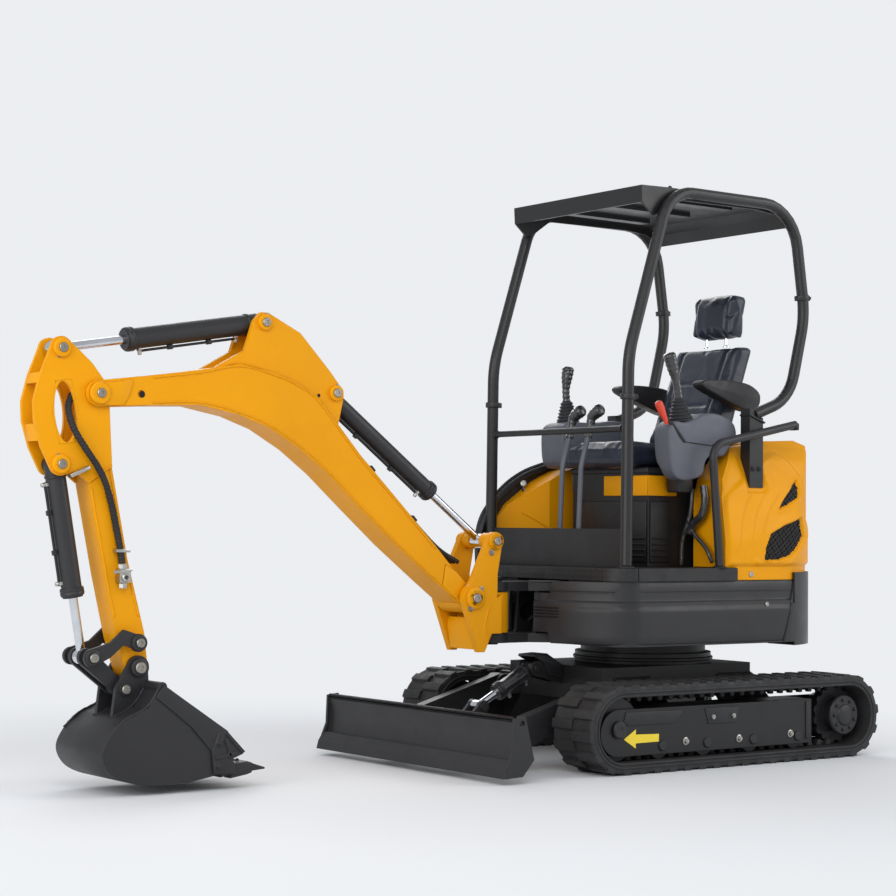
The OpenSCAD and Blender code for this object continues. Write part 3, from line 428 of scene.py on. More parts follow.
def bolt(bm, at, axis, flats=None, washer=True):
    """Hexagon head on a washer."""
    flats = flats or size("bolt")
    r = flats / sqrt(3)
    if washer:
        turned(bm, [(0, 0), (r * 1.35, 0), (r * 1.4, 0.6), (r * 1.4, 2.2), (r * 1.3, 2.8), (0, 2.8)],
               at, axis, 24)
    turned(bm, [(0, 2.4), (r, 2.4), (r, flats * 0.5), (r * 0.9, flats * 0.6), (0, flats * 0.6)], at, axis, 6)
    turned(bm, [(0, flats * 0.55), (r * 0.42, flats * 0.55), (r * 0.42, flats * 0.72),
                (r * 0.34, flats * 0.8), (0, flats * 0.8)], at, axis, 14)


def weld(bm, points, radius=None, steps=3):
    """Weld bead with small ripples along a path."""
    radius = radius or size("weld")
    path = smooth_path(points, steps) if len(points) > 2 else [Vector(p) for p in points]
    fine = []
    for a, b in zip(path, path[1:]):
        n = max(1, int((b - a).length / 5.0))
        fine += [a + (b - a) * k / n for k in range(n)]
    fine.append(path[-1])
    tube(bm, fine, lambda run: radius * (1 + 0.14 * sin(run * 1.26)), 7)


def pin_head(bm, p, y, way, r=17.0):
    """Chamfered end of a pivot pin, with its centre sunk."""
    at, axis = (p[0], y, p[1]), (0, way, 0)
    turned(bm, [(0, 0), (r, 0), (r, 5), (r - 2.5, 7.5), (r * 0.4, 7.5), (r * 0.35, 5), (0, 5)], at, axis, 32)


def collar(bm, p, y, inner, outer, straight, high, chamfer=4, sides=40):
    """Ring round a pin on the left side."""
    turned(bm, [(inner, 0), (outer, 0), (outer, straight), (outer - chamfer, high), (inner, high)],
           (p[0], y, p[1]), LEFT, sides)


def cross_pin(bm, p, y0, y1):
    tube(bm, [(p[0], y0, p[1]), (p[0], y1, p[1])], 16.5, 28)


def mirrored(bm):
    """Adds the mirror image across the middle plane."""
    made = bmesh.ops.duplicate(bm, geom=bm.verts[:] + bm.edges[:] + bm.faces[:])["geom"]
    verts = [v for v in made if isinstance(v, bmesh.types.BMVert)]
    bmesh.ops.scale(bm, vec=(1, -1, 1), verts=verts)
    bmesh.ops.reverse_faces(bm, faces=[f for f in made if isinstance(f, bmesh.types.BMFace)])


def piece(name, bm, finish, body, angle=38.0):
    """Turns a mesh into a piece that rides on a body."""
    bm.transform(TO_ROW)
    bmesh.ops.recalc_face_normals(bm, faces=bm.faces[:])
    mesh = bpy.data.meshes.new(name)
    bm.to_mesh(mesh)
    bm.free()
    for face in mesh.polygons:
        face.use_smooth = True
    mesh.set_sharp_from_angle(angle=radians(angle))
    obj = bpy.data.objects.new(name, mesh)
    bpy.context.scene.collection.objects.link(obj)
    mesh.materials.append(FINISHES[finish])
    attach(obj, body)
    return obj


def build(*steps):
    bm = bmesh.new()
    for step in steps:
        step(bm)
    return bm


class Surface:
    """A CAD part's surface, to lay details on."""

    def __init__(self, *nodes):
        verts, faces = [], []
        for node in nodes:
            mesh = NODES[node].data
            mesh.calc_loop_triangles()
            start = len(verts)
            verts += [Vector((v.co.x * 1000 + ORIGIN_X, v.co.y * 1000, v.co.z * 1000))
                      for v in mesh.vertices]
            faces += [[start + i for i in t.vertices] for t in mesh.loop_triangles]
        self.tree = BVHTree.FromPolygons(verts, faces)

    def hit(self, start, way):
        place, normal, _, _ = self.tree.ray_cast(Vector(start), Vector(way).normalized())
        return place, normal

    def beside(self, x, z, lift=0.0, side=1):
        """Point on the left (1) or right (-1) side at the given X and Z."""
        place, normal = self.hit((x, side * 3000, z), (0, -side, 0))
        if place is None:
            return None
        return place + normal * lift


# Stage

class EXCAVATOR_OT_stage(bpy.types.Operator):
    """Adds the camera, the soft lights, the floor and the backdrop"""

    bl_idname = "excavator.stage"
    bl_label = "Stage"

    def execute(self, context):
        scene = context.scene
        scene.view_settings.view_transform = "Standard"
        yaw, pitch, roll = CAMERA_YAW, CAMERA_PITCH, CAMERA_ROLL
        way = Vector((cos(pitch) * cos(yaw), cos(pitch) * sin(yaw), sin(pitch)))
        right = way.cross(Vector(UP)).normalized()
        up = right.cross(way)
        right, up = cos(roll) * right + sin(roll) * up, -sin(roll) * right + cos(roll) * up
        camera = bpy.data.cameras.new("photo_camera")
        camera.sensor_width = SENSOR
        camera.lens = FOCAL_PIXELS / PHOTO_PIXELS * SENSOR
        camera.shift_y = -(PHOTO_PIXELS / 2 - MIDDLE_ROW) / PHOTO_PIXELS
        camera.clip_end = 200
        seat = bpy.data.objects.new("photo_camera", camera)
        turn = Matrix((right, up, -way)).transposed().to_4x4()
        seat.matrix_world = Matrix.Translation(TO_ROW @ Vector(CAMERA_AT)) @ turn
        scene.collection.objects.link(seat)
        scene.camera = seat
        self.lights(scene)
        self.ground(scene)
        return {"FINISHED"}

    def lights(self, scene):
        for name, at, aim, power, wide in (
                ("key_light", (4.0, 5.5, 5.0), (0.3, 0, 0.8), 172, 4.5),
                ("fill_light", (-5.0, 4.5, 3.5), (-0.5, 0, 0.8), 130, 4.0),
                ("rear_light", (-3.0, -5.5, 5.0), (0, 0, 1.0), 200, 5.0),
                ("front_light", (6.0, 1.5, 2.6), (0.6, 0, 0.8), 145, 4.0)):
            lamp = bpy.data.lights.new(name, "AREA")
            lamp.energy, lamp.size = power, wide
            obj = bpy.data.objects.new(name, lamp)
            obj.location = at
            obj.rotation_euler = (Vector(aim) - Vector(at)).to_track_quat("-Z", "Y").to_euler()
            scene.collection.objects.link(obj)
        world = bpy.data.worlds.new("studio")
        scene.world = world
        world.use_nodes = True
        tree = world.node_tree
        tree.nodes.clear()
        rays = tree.nodes.new("ShaderNodeLightPath")
        seen = tree.nodes.new("ShaderNodeBackground")
        soft = tree.nodes.new("ShaderNodeBackground")
        pick = tree.nodes.new("ShaderNodeMixShader")
        seen.inputs["Color"].default_value = shade(look().ground, 1.0)
        soft.inputs["Color"].default_value = (0.95, 0.97, 1.0, 1.0)
        soft.inputs["Strength"].default_value = 0.56
        any_ray = tree.nodes.new("ShaderNodeMath")
        any_ray.operation = "MAXIMUM"
        tree.links.new(rays.outputs["Is Camera Ray"], any_ray.inputs[0])
        tree.links.new(rays.outputs["Is Transmission Ray"], any_ray.inputs[1])
        tree.links.new(any_ray.outputs[0], pick.inputs[0])
        tree.links.new(soft.outputs[0], pick.inputs[1])
        tree.links.new(seen.outputs[0], pick.inputs[2])
        tree.links.new(pick.outputs[0], tree.nodes.new("ShaderNodeOutputWorld").inputs["Surface"])

    def ground(self, scene):
        bm = bmesh.new()
        bmesh.ops.create_circle(bm, cap_ends=True, radius=60.0, segments=96)
        mesh = bpy.data.meshes.new("floor_stage")
        bm.to_mesh(mesh)
        bm.free()
        obj = bpy.data.objects.new("floor_stage", mesh)
        obj.location.z = -0.0005
        scene.collection.objects.link(obj)
        r = Recipe("backdrop")
        tree = r.tree
        colour = shade(look().ground, 1.0)
        r.set(Base_Color=r.mix(r.noise(0.6), shade(look().ground, 0.91), shade(look().ground, 0.94)),
              Roughness=0.9, Specular_IOR_Level=0.1)
        glow = r.add("ShaderNodeEmission", {"Color": colour})
        far = r.remap(r.add("ShaderNodeVectorMath", {0: r.place}, operation="LENGTH").outputs["Value"],
                      1.9, 3.6, 0.0, 1.0)
        pick = r.add("ShaderNodeMixShader", {0: far, 1: r.shader.outputs[0], 2: glow.outputs[0]})
        tree.links.new(pick.outputs[0], tree.nodes["Material Output"].inputs["Surface"])
        mesh.materials.append(r.material)


# CAD parts

NODE_FINISHES = {
    "track_rubber": ["track_left", "track_right"],
    # The slew ring takes the black paint to darken it as painted shade under the house
    "frame_black": ["track_frame", "platform", "seat_base", "front_guard", "engine_block", "canopy_feet",
                    "slew_ring"],
    "dark_paint": ["idlers", "sprockets", "rollers", "blade", "skirts", "right_shell",
                   "handrail", "boom_barrel", "arm_barrel", "bucket_barrel"],
    "canopy_paint": ["canopy_left", "canopy_right", "roof"],
    "dark_cast": ["counterweight"],
    "tool_paint": ["bucket", "guide_link", "push_link"],
    "yellow_paint": ["hood", "rear_door", "right_cover", "swing_post", "boom", "arm"],
    "rod_chrome": ["blade_rod", "boom_rod", "arm_rod", "bucket_rod"],
    "film_wrap": ["blade_barrel"],
    "floor_cover": ["floor"],
    "black_plastic": ["armrests", "joysticks"],
    "grey_plastic": ["consoles"],
    "red_plastic": ["safety_lever"],
    "grey_paint": ["travel_levers"],
    "seat_cover": ["seat_cushion", "seat_back", "headrest"],
    "hose_rubber": ["arm_hose"],
    "zinc": ["service_valve"],
}


class EXCAVATOR_OT_finishes(bpy.types.Operator):
    """Makes the finishes and gives each CAD part its own"""

    bl_idname = "excavator.finishes"
    bl_label = "Finishes of the CAD parts"

    def execute(self, context):
        make_finishes()
        for finish, names in NODE_FINISHES.items():
            for name in names:
                mesh = NODES[name].data
                mesh.materials.clear()
                mesh.materials.append(FINISHES[finish])
        return {"FINISHED"}


# Seat

def swell(obj, cap, pressure=4.0):
    """Blows a closed mesh up like a stuffed pad; no point moves further than cap millimetres."""
    scene = bpy.context.scene
    before = [v.co.copy() for v in obj.data.vertices]
    cloth = obj.modifiers.new("pad", "CLOTH")
    cloth.settings.use_pressure = True
    cloth.settings.uniform_pressure_force = pressure
    cloth.settings.effector_weights.gravity = 0
    steps = scene.excavator_sizes.pad_steps
    cloth.point_cache.frame_start, cloth.point_cache.frame_end = 1, steps
    for step in range(1, steps + 1):
        scene.frame_set(step)
    shaped = obj.evaluated_get(bpy.context.evaluated_depsgraph_get()).data
    after = [v.co.copy() for v in shaped.vertices]
    obj.modifiers.remove(cloth)
    scene.frame_set(1)
    for vert, old, new in zip(obj.data.vertices, before, after):
        step = new - old
        if step.length > cap / 1000:
            step *= cap / 1000 / step.length
        vert.co = old + step


def pad(name, bm, voxel, cap, seam, node):
    """Stuffed pad: remeshed, swollen, then pressed in along its seams."""
    obj = piece(name, bm, "seat_cover", "house", 60.0)
    remesh = obj.modifiers.new("voxels", "REMESH")
    remesh.mode = "VOXEL"
    remesh.voxel_size = voxel / 1000
    dg = bpy.context.evaluated_depsgraph_get()
    mesh = bpy.data.meshes.new_from_object(obj.evaluated_get(dg))
    obj.modifiers.clear()
    old, obj.data = obj.data, mesh
    bpy.data.meshes.remove(old)
    mesh.name = name
    swell(obj, cap)
    for vert in mesh.vertices:
        at = Vector((vert.co.x * 1000 + ORIGIN_X, vert.co.y * 1000, vert.co.z * 1000))
        vert.co -= vert.normal * seam(at) / 1000
    for face in mesh.polygons:
        face.use_smooth = True
    rounder = obj.modifiers.new("rounder", "SUBSURF")
    rounder.levels = rounder.render_levels = 1
    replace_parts(obj, node)
    return obj


def groove(distance, width, depth):
    """Depth of a seam at a distance from its middle."""
    return depth * max(0.0, 1 - abs(distance) / width) ** 2


class EXCAVATOR_OT_seat(bpy.types.Operator):
    """Adds the padded seat, back, headrest and armrests"""

    bl_idname = "excavator.seat"
    bl_label = "Seat"

    def execute(self, context):
        cushion = build(lambda bm: prism(bm, [(-184, 1206), (270, 1206), (279, 1232), (276, 1278),
                                              (250, 1300), (150, 1296), (-20, 1284), (-110, 1292),
                                              (-184, 1300)], -212, 212, 26, 4))

        def cushion_seam(at):
            depth = groove(abs(at.y) - 128, 16, 9) if at.z > 1260 else 0.0
            for x in (-60, 30, 120):
                if at.z > 1260 and abs(at.y) < 128:
                    depth = max(depth, groove(at.x - x, 14, 7))
            return max(depth, groove(at.z - 1250, 10, 5))

        pad("seat_cushion_pad", cushion, 9, 12, cushion_seam, "seat_cushion")
        back = build(lambda bm: prism(bm, [(-200, 1212), (-204, 1330), (-250, 1450), (-300, 1560),
                                           (-376, 1738), (-440, 1741), (-462, 1728), (-390, 1540),
                                           (-322, 1335), (-303, 1212)], -210, 210, 24, 4))

        def back_seam(at):
            front = at.x > -260 - (at.z - 1450) * 0.42 - 30
            if not front:
                return 0.0
            depth = groove(abs(at.y) - 135, 15, 9)
            for z in (1380, 1480, 1580):
                if abs(at.y) < 135:
                    depth = max(depth, groove(at.z - z, 14, 7))
            return depth

        pad("seat_back_pad", back, 9, 12, back_seam, "seat_back")
        rest = build(lambda bm: prism(bm, [(-388, 1796), (-402, 1950), (-424, 1970), (-484, 1966),
                                           (-492, 1946), (-474, 1782)], -130, 130, 26, 4))
        pad("headrest_pad", rest, 7, 10, lambda at: groove(abs(at.y) - 92, 12, 6), "headrest")
        posts = build(lambda bm: [tube(bm, [(-425, y, 1746), (-428, y, 1792)], 7, 16) for y in (-60, 60)],
                      lambda bm: [turned(bm, [(0, 0), (14, 0), (14, 6), (9, 9), (0, 9)], (-425, y, 1742))
                                  for y in (-60, 60)])
        piece("headrest_posts", posts, "rod_chrome", "house")
        arms = build(lambda bm: prism(bm, [(-86, 1553), (-100, 1541), (-310, 1496), (-384, 1478),
                                           (-394, 1518), (-330, 1554), (-110, 1556)], 230, 282, 12, 4),
                     mirrored)
        rests = pad("armrest_pads", arms, 6, 5, lambda at: groove(abs(abs(at.y) - 256), 4, 2), "armrests")
        rests.data.materials.clear()
        rests.data.materials.append(FINISHES["black_plastic"])
        return {"FINISHED"}


# Undercarriage and blade

def track_line(r, y, steps=20):
    """Closed route round the idler and the sprocket at a radius from their axles."""
    route = []
    for axle, start in ((IDLER_X, -pi / 2), (SPROCKET_X, pi / 2)):
        turns = (start + pi * k / steps for k in range(steps + 1))
        route += [(axle + r * cos(a), y, AXLE_Z + r * sin(a)) for a in turns]
    return route + [route[0]]


class EXCAVATOR_OT_undercarriage(bpy.types.Operator):
    """Adds the track rims, guides, side plate pads, hubs, bolts, arrows and the cylinder's guard"""

    bl_idname = "excavator.undercarriage"
    bl_label = "Undercarriage fittings"

    def execute(self, context):
        rims = build(lambda bm: [tube(bm, track_line(r, y), 4.5, 8)
                                 for r, y in ((144, 621), (130, 621), (144, 391))],
                     self.guides, self.bed, mirrored)
        piece("track_rims", rims, "track_rubber", "undercarriage")
        pads = build(lambda bm: prism(bm, [(604, 186), (624, 200), (612, 238), (325, 234), (316, 222),
                                           (368, 184)], 586, 591, 2.5),
                     lambda bm: prism(bm, [(176, 172), (196, 236), (8, 236), (22, 172)], 586, 590, 2.5),
                     lambda bm: prism(bm, [(-392, 84), (-400, 90), (-400, 232), (-392, 238), (-376, 238),
                                           (-376, 84)], 586, 592, 2),
                     lambda bm: [bolt(bm, (SPROCKET_X + 62 * cos(a), 588, AXLE_Z + 62 * sin(a)),
                                      LEFT, 13, False) for a in (pi * k / 4.5 for k in range(9))],
                     self.hubs, mirrored)
        piece("side_plate_pads", pads, "dark_paint", "undercarriage")
        bolts = build(lambda bm: [bolt(bm, (x, 586.5, z), LEFT, 19) for x, z in
                                  ((297, 111), (5, 106), (-287, 111), (154, 200), (42, 200))],
                      mirrored)
        piece("side_plate_bolts", bolts, "zinc", "undercarriage")
        arrow = build(lambda bm: prism(bm, [(622, 134), (560, 170), (560, 150), (440, 147), (440, 117),
                                            (560, 116), (560, 96)], 586.5, 588.4, 0.4, 1),
                      mirrored)
        piece("travel_arrows", arrow, "arrow_paint", "undercarriage")
        ring = build(lambda bm: [bolt(bm, (270 * cos(a), 270 * sin(a), 384), (0, 0, -1), 18)
                                 for a in (pi * k / 10 for k in range(20))],
                     lambda bm: turned(bm, [(291, 0), (296, 4), (296, 12), (291, 16)], (0, 0, 396), UP, 72))
        # The ring's bolts take the black paint to darken them as painted shade under the house
        piece("ring_bolts", ring, "frame_black", "undercarriage")
        welds = build(lambda bm: [weld(bm, [(x0, y, 336), (x1, y, 336)])
                                  for x0, x1, y in ((436, 460, 300), (436, 460, -300))],
                      lambda bm: [weld(bm, [(480, y, 254), (480, y, 326)])
                                  for y in (283, 303, 357, -283, -303, -357)],
                      lambda bm: weld(bm, [(-460, -200, 322), (-340, -200, 383)]),
                      lambda bm: weld(bm, [(-460, 200, 322), (-340, 200, 383)]))
        piece("frame_welds", welds, "frame_black", "undercarriage")
        self.bracket()
        return {"FINISHED"}

    def bed(self, bm):
        """Rubber between the lugs, rounded off to the track's edges."""
        across = [track_line(r, y)[:-1] for r, y in
                  ((147, 620.8), (160, 620.4), (164.5, 618), (166.5, 613), (166, 606), (160, 592),
                   (160, 420), (166, 406), (166.5, 399), (164.5, 394), (160, 391.6), (147, 391.2))]
        rows = [[bm.verts.new(at) for at in line] for line in across]
        for a, b in zip(rows, rows[1:]):
            for k in range(len(a)):
                bm.faces.new((a[k], b[k], b[k - 1], a[k - 1]))

    def guides(self, bm):
        """Guide teeth inside the track."""
        for k in range(22):
            for z, top in ((47.5, 1), (296.5, -1)):
                x = -560 + k * 56
                for y in (462, 534):
                    prism(bm, [(x - 16, z), (x + 16, z), (x + 8, z + 24 * top), (x - 8, z + 24 * top)],
                          y - 11, y + 11, 2, 1)

    def hubs(self, bm):
        turned(bm, [(0, 0), (84, 0), (84, 9), (78, 15), (46, 16), (43, 22), (38, 25), (0, 26)],
               (SPROCKET_X, 573.5, AXLE_Z), LEFT, 48)
        turned(bm, [(0, 0), (34, 0), (34, 5), (29, 9), (12, 9), (10, 6), (0, 6)],
               (IDLER_X, 593, AXLE_Z), LEFT, 40)
        for x in (-330, -75, 180, 420):
            turned(bm, [(0, 0), (20, 0), (20, 3), (17, 6), (0, 6)], (x, 588, 99), LEFT, 28)

    def bracket(self):
        """Box over the blade cylinder's fixed end."""
        bm = build(lambda b: prism(b, [(484, 386), (566, 434), (636, 430), (636, 422), (568, 425),
                                       (484, 376)], -51, 51, 2),
                   lambda b: [prism(b, [(484, 376), (484, 330), (560, 346), (592, 400), (636, 422),
                                        (566, 430)], y, y + 5, 1) for y in (-56, 51)])
        piece("blade_cylinder_guard", bm, "dark_paint", "undercarriage")


class EXCAVATOR_OT_blade(bpy.types.Operator):
    """Adds the blade's lip, welds and the cylinder's fittings"""

    bl_idname = "excavator.blade"
    bl_label = "Blade fittings"

    def execute(self, context):
        lip = build(lambda bm: tube(bm, [(1180, -618, 238), (1180, 618, 238)], 12, 20),
                    lambda bm: prism(bm, [(1128, 96), (1172, 96), (1176, 182), (1128, 186)], 606, 616, 2),
                    mirrored)
        piece("blade_lip", lip, "dark_paint", "blade")
        welds = build(
            lambda bm: [weld(bm, [(1100, y, 98), (1100, y, 184)]) for y in (304, 356)],
            lambda bm: [weld(bm, [(902, y, 184), (958, y, 184)]) for y in (28, 36)],
            lambda bm: weld(bm, [(900, 304, 108), (900, 304, 180)]),
            lambda bm: weld(bm, [(960, 304, 108), (960, 304, 180)]), mirrored,
            lambda bm: weld(bm, [(1102, -560, 187), (1102, 560, 187)]))
        piece("blade_welds", welds, "dark_paint", "blade")
        dress_cylinder("blade", BLADE_BAR, BLADE_EYE, 200, 31, "film_wrap", 40, 26)
        return {"FINISHED"}


def dress_cylinder(name, start, end, length, r, finish, pipe_from, eye):
    """Gland ring, end collar, ports and steel pipe of a cylinder's barrel."""
    a, b = Vector((start[0], 0, start[1])), Vector((end[0], 0, end[1]))
    way = (b - a).normalized()
    side = way.cross(Vector(LEFT)).normalized()
    if side.z > 0:
        side = -side

    def gland(bm):
        turned(bm, [(r + 1, 0), (r + 6.5, 3), (r + 6.5, 10), (r + 5, 12), (r + 6.5, 14), (r + 6.5, 22),
                    (r + 2, 27), (r - 6, 29), (r - 9, 31), (20, 31), (17, 28)],
               a + way * (length - 33), way, 44)
        turned(bm, [(r, 0), (r + 3, 2), (r + 3, 10), (r, 12)], a + way * (eye + 6), way, 40)

    def pipe(bm):
        low = a + way * pipe_from + side * (r + 8)
        high = a + way * (length - 60) + side * (r + 8)
        tube(bm, smooth_path([a + way * (pipe_from + 4) + side * (r - 4), low + way * 10, low + way * 40,
                              (low + high) / 2, high - way * 30, high, high + way * 8 - side * 12], 6),
             5.0, 10)
        for t in (0.3, 0.7):
            p = low.lerp(high, t)
            box(bm, p - Vector((9, 9, 9)), p + Vector((9, 9, 9)), 2, 2, up_to(way))

    def ports(bm):
        for t in (pipe_from + 6, length - 56):
            at = a + way * t + side * (r - 3)
            turned(bm, [(0, 0), (11, 0), (11, 9), (9, 11), (9, 16), (0, 16)], at, side, 6)
            turned(bm, [(0, 12), (7.5, 12), (7.5, 24), (6, 26), (0, 26)], at, side, 18)

    body = name + "_barrel"
    piece(name + "_gland", build(gland), finish if finish != "film_wrap" else "dark_paint", body)
    piece(name + "_pipe", build(pipe), "frame_black", body)
    piece(name + "_ports", build(ports), "zinc", body)


# Boom, arm and bucket

BOOM_TOP = [(2410, 1478), (2217, 1506), (2050, 1538), (1900, 1512), (1800, 1480), (1698, 1420), (1513, 1217),
            (1324, 1037), (1150, 868), (1010, 724)]
BOOM_LOW = [(1038, 646), (1163, 738), (1340, 872), (1511, 1015), (1660, 1142), (1785, 1232), (1920, 1306),
            (2047, 1349), (2215, 1379), (2410, 1371)]


def moved_in(line, by):
    """Moves an XZ line sideways."""
    out = []
    for i, p in enumerate(line):
        a, b = Vector(line[max(i - 1, 0)]), Vector(line[min(i + 1, len(line) - 1)])
        d = (b - a).normalized()
        out.append((p[0] - d.y * by, p[1] + d.x * by))
    return out


class EXCAVATOR_OT_boom(bpy.types.Operator):
    """Adds the boom's welds, end castings, pins, hoses and cylinder fittings"""

    bl_idname = "excavator.boom"
    bl_label = "Boom fittings"

    def execute(self, context):
        top, low = moved_in(BOOM_TOP[:-1], 9), moved_in(BOOM_LOW, 9)
        welds = build(lambda bm: weld(bm, [(x, 75.5, z) for x, z in top], 4.0, 6),
                      lambda bm: weld(bm, [(x, 75.5, z) for x, z in low], 4.0, 6),
                      lambda bm: weld(bm, [(2148, 62, 1516), (2050, 62, 1540), (1900, 62, 1514),
                                           (1800, 62, 1482), (1698, 62, 1422), (1620, 62, 1336)], 4.0, 6),
                      mirrored)
        piece("boom_welds", welds, "yellow_paint", "boom")
        castings = build(lambda bm: prism(bm, soften([(2520, 1372), (2504, 1400), (2488, 1452), (2500, 1460),
                                                      (2560, 1446), (2600, 1444), (2650, 1436), (2662, 1404),
                                                      (2650, 1372), (2600, 1362), (2530, 1364)], 1),
                                          75, 80, 3),
                         lambda bm: turned(bm, [(0, 0), (40, 0), (40, 6), (36, 11), (26, 12), (0, 12)],
                                           (TIP[0], 78, TIP[1]), LEFT, 40),
                         lambda bm: prism(bm, [(1050, 660), (1120, 715), (1106, 800), (1050, 770),
                                               (1006, 726), (1030, 690)], 74.5, 78, 3),
                         self.collars, mirrored)
        # Painted shade: thin dark discs stand in for the shade inside the boom's holes
        holes = build(lambda bm: [turned(bm, [(0, 0), (r, 0), (r, 0.7), (0, 0.7)], (x, y, z), LEFT, 24)
                                  for x, y, z, r in ((2453, 75, 1407, 12), (1697, 61.5, 1437, 7))], mirrored)
        piece("boom_holes", holes, "painted_gap_shade", "boom")
        piece("boom_castings", castings, "yellow_paint", "boom")
        pins = build(lambda bm: [pin_head(bm, p, y, 1)
                                 for p, y in ((BOOM_LUG, 76), (STICK_LUG, 76), (TIP, 89.5))],
                     lambda bm: [bolt(bm, (p[0] - 9, y, p[1] + 26), LEFT, 12)
                                 for p, y in ((BOOM_LUG, 62), (STICK_LUG, 62))],
                     mirrored)
        piece("boom_pins", pins, "pin_steel", "boom")
        hoses = build(
            lambda bm: [tube(bm, smooth_path([(1004, y, 806), (1120, y, 872), (1300, y, 1036),
                                              (1500, y, 1228), (1640, y, 1384), (1720, y, 1462)], 8),
                             size("hose"), 10) for y in (-22, 0, 22)],
            lambda bm: [box(bm, (x - 14, -38, z - 4), (x + 14, 38, z + 16), 3, 2,
                            Matrix.Rotation(-0.8, 4, "Y")) for x, z in ((1230, 968), (1430, 1158))])
        piece("boom_hoses", hoses, "hose_rubber", "boom")
        dress_cylinder("boom", BOOM_LUG, POST_PIN, 620, 34, "dark_paint", 50, 30)
        dress_cylinder("arm", STICK_LUG, YOKE_TOP, 558, 38, "dark_paint", 90, 32)
        dress_cylinder("bucket", YOKE_LOW, LINK_K, 471, 36, "dark_paint", 60, 30)
        return {"FINISHED"}

    def collars(self, bm):
        for p in (BOOM_LUG, STICK_LUG):
            collar(bm, p, 62, 16, 30, 11, 14)


class EXCAVATOR_OT_arm(bpy.types.Operator):
    """Adds the arm's pins, welds, yoke lining, hose, clamps and valve"""

    bl_idname = "excavator.arm"
    bl_label = "Arm fittings"

    def execute(self, context):
        collars = build(
            lambda bm: [collar(bm, p, 55, 16, 34, 9, 13, 5) for p in (YOKE_TOP, YOKE_LOW)],
            lambda bm: weld(bm, [(2648, 56, 1092), (2600, 56, 1124), (2558, 56, 1150)], 4.0, 4),
            lambda bm: weld(bm, [(2440, 50.5, 620), (2494, 50.5, 818), (2562, 50.5, 1136)], 4.0, 5),
            lambda bm: weld(bm, [(2537, 50.5, 620), (2571, 50.5, 766), (2636, 50.5, 1074)], 4.0, 5),
            mirrored,
            lambda bm: [prism(bm, o, -41, 41, 2) for o in
                        ([(2846, 1432), (2834, 1470), (2826, 1466), (2838, 1430)],
                         [(2850, 1290), (2838, 1230), (2830, 1232), (2842, 1292)])])
        rims = build(self.rim, mirrored)
        piece("yoke_rims", rims, "yellow_paint", "arm", 50.0)
        piece("arm_collars", collars, "yellow_paint", "arm")
        pins = build(lambda bm: [pin_head(bm, p, y, 1) for p, y in ((YOKE_TOP, 68), (YOKE_LOW, 68))],
                     lambda bm: [bolt(bm, (p[0] + 8, 55, p[1] + s * 27), LEFT, 12)
                                 for p, s in ((YOKE_TOP, -1), (YOKE_LOW, 1))],
                     mirrored,
                     lambda bm: [cross_pin(bm, YOKE_TOP, y0, y0 + 36) for y0 in (-70, 34)],
                     lambda bm: [pin_head(bm, BUCKET_PIV, s * 84, s, 21.0) for s in (1, -1)])
        piece("arm_pins", pins, "pin_steel", "arm")
        route = smooth_path([(2700, 20, 1400), (2722, 40, 1350), (2712, 63, 1280), (2672, 76, 1210),
                             (2626, 76, 1150), (2590, 72, 1090), (2560, 64.5, 1010), (2540, 63.3, 930),
                             (2524, 63.3, 860), (2514, 63.3, 794)], 14)
        hose = build(lambda bm: tube(bm, route, lambda run: 12.6 if int(run / 5.0) % 2 else 10.8, 14))
        sleeve = piece("arm_hose_sleeve", hose, "hose_rubber", "arm", 20.0)
        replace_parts(sleeve, "arm_hose")
        fittings = build(lambda bm: box(bm, (2650, 56, 1120), (2730, 82, 1134), 4, 2,
                                        Matrix.Rotation(0.42, 4, "Y")),
                         self.valve)
        piece("arm_valve", fittings, "zinc", "arm")
        return {"FINISHED"}

    def rim(self, bm):
        """Round lining of the opening in the arm's side plate."""
        hole = [(2700, 1230), (2760, 1220), (2790, 1330), (2780, 1440), (2720, 1450), (2690, 1340)]
        rows = []
        for k in range(64):
            a = 2 * pi * k / 64
            inner = Vector((41 * cos(a) + 9.3 * sin(a), 106 * sin(a)))
            reach = []
            for p, q in zip(hole, hole[1:] + hole[:1]):
                px, pz, qx, qz = p[0] - HOLE_X, p[1] - HOLE_Z, q[0] - HOLE_X, q[1] - HOLE_Z
                side = inner.x * (qz - pz) - inner.y * (qx - px)
                if side > 0:
                    reach.append((px * (qz - pz) - pz * (qx - px)) / side)
            outer = inner * max(1.01, min(reach) - 0.004)
            rows.append([bm.verts.new((HOLE_X + w.x, y, HOLE_Z + w.y))
                         for w, y in ((outer, 41.5), (inner, 41.5), (inner, 53.8), (inner * 1.015, 55.3),
                                      (outer, 55.3))])
        for k in range(64):
            a, b = rows[k - 1], rows[k]
            for j in range(5):
                bm.faces.new((a[j], b[j], b[(j + 1) % 5], a[(j + 1) % 5]))

    def valve(self, bm):
        turned(bm, [(0, 0), (17, 0), (17, 14), (14, 17), (0, 17)], (2514, 67, 790), UP, 6)
        turned(bm, [(9, 0), (15, 0), (15, 16), (12, 20), (9, 20)], (2512, 67, 720), UP, 6)
        turned(bm, [(8.4, -2), (8.4, 8), (11, 9), (14, 6), (14, -2)], (2512, 84, 758), LEFT, 24)
        box(bm, (2486, 82, 776), (2560, 89, 786), 2.5, 2, Matrix.Rotation(0.12, 4, "Y"))
        box(bm, (2490, 51, 846), (2548, 80, 858), 3)


BUCKET_BACK = [(2520, 280), (2552, 265), (2612, 215), (2641, 150), (2611, 89), (2540, 51), (2440, 33),
               (2370, 34)]


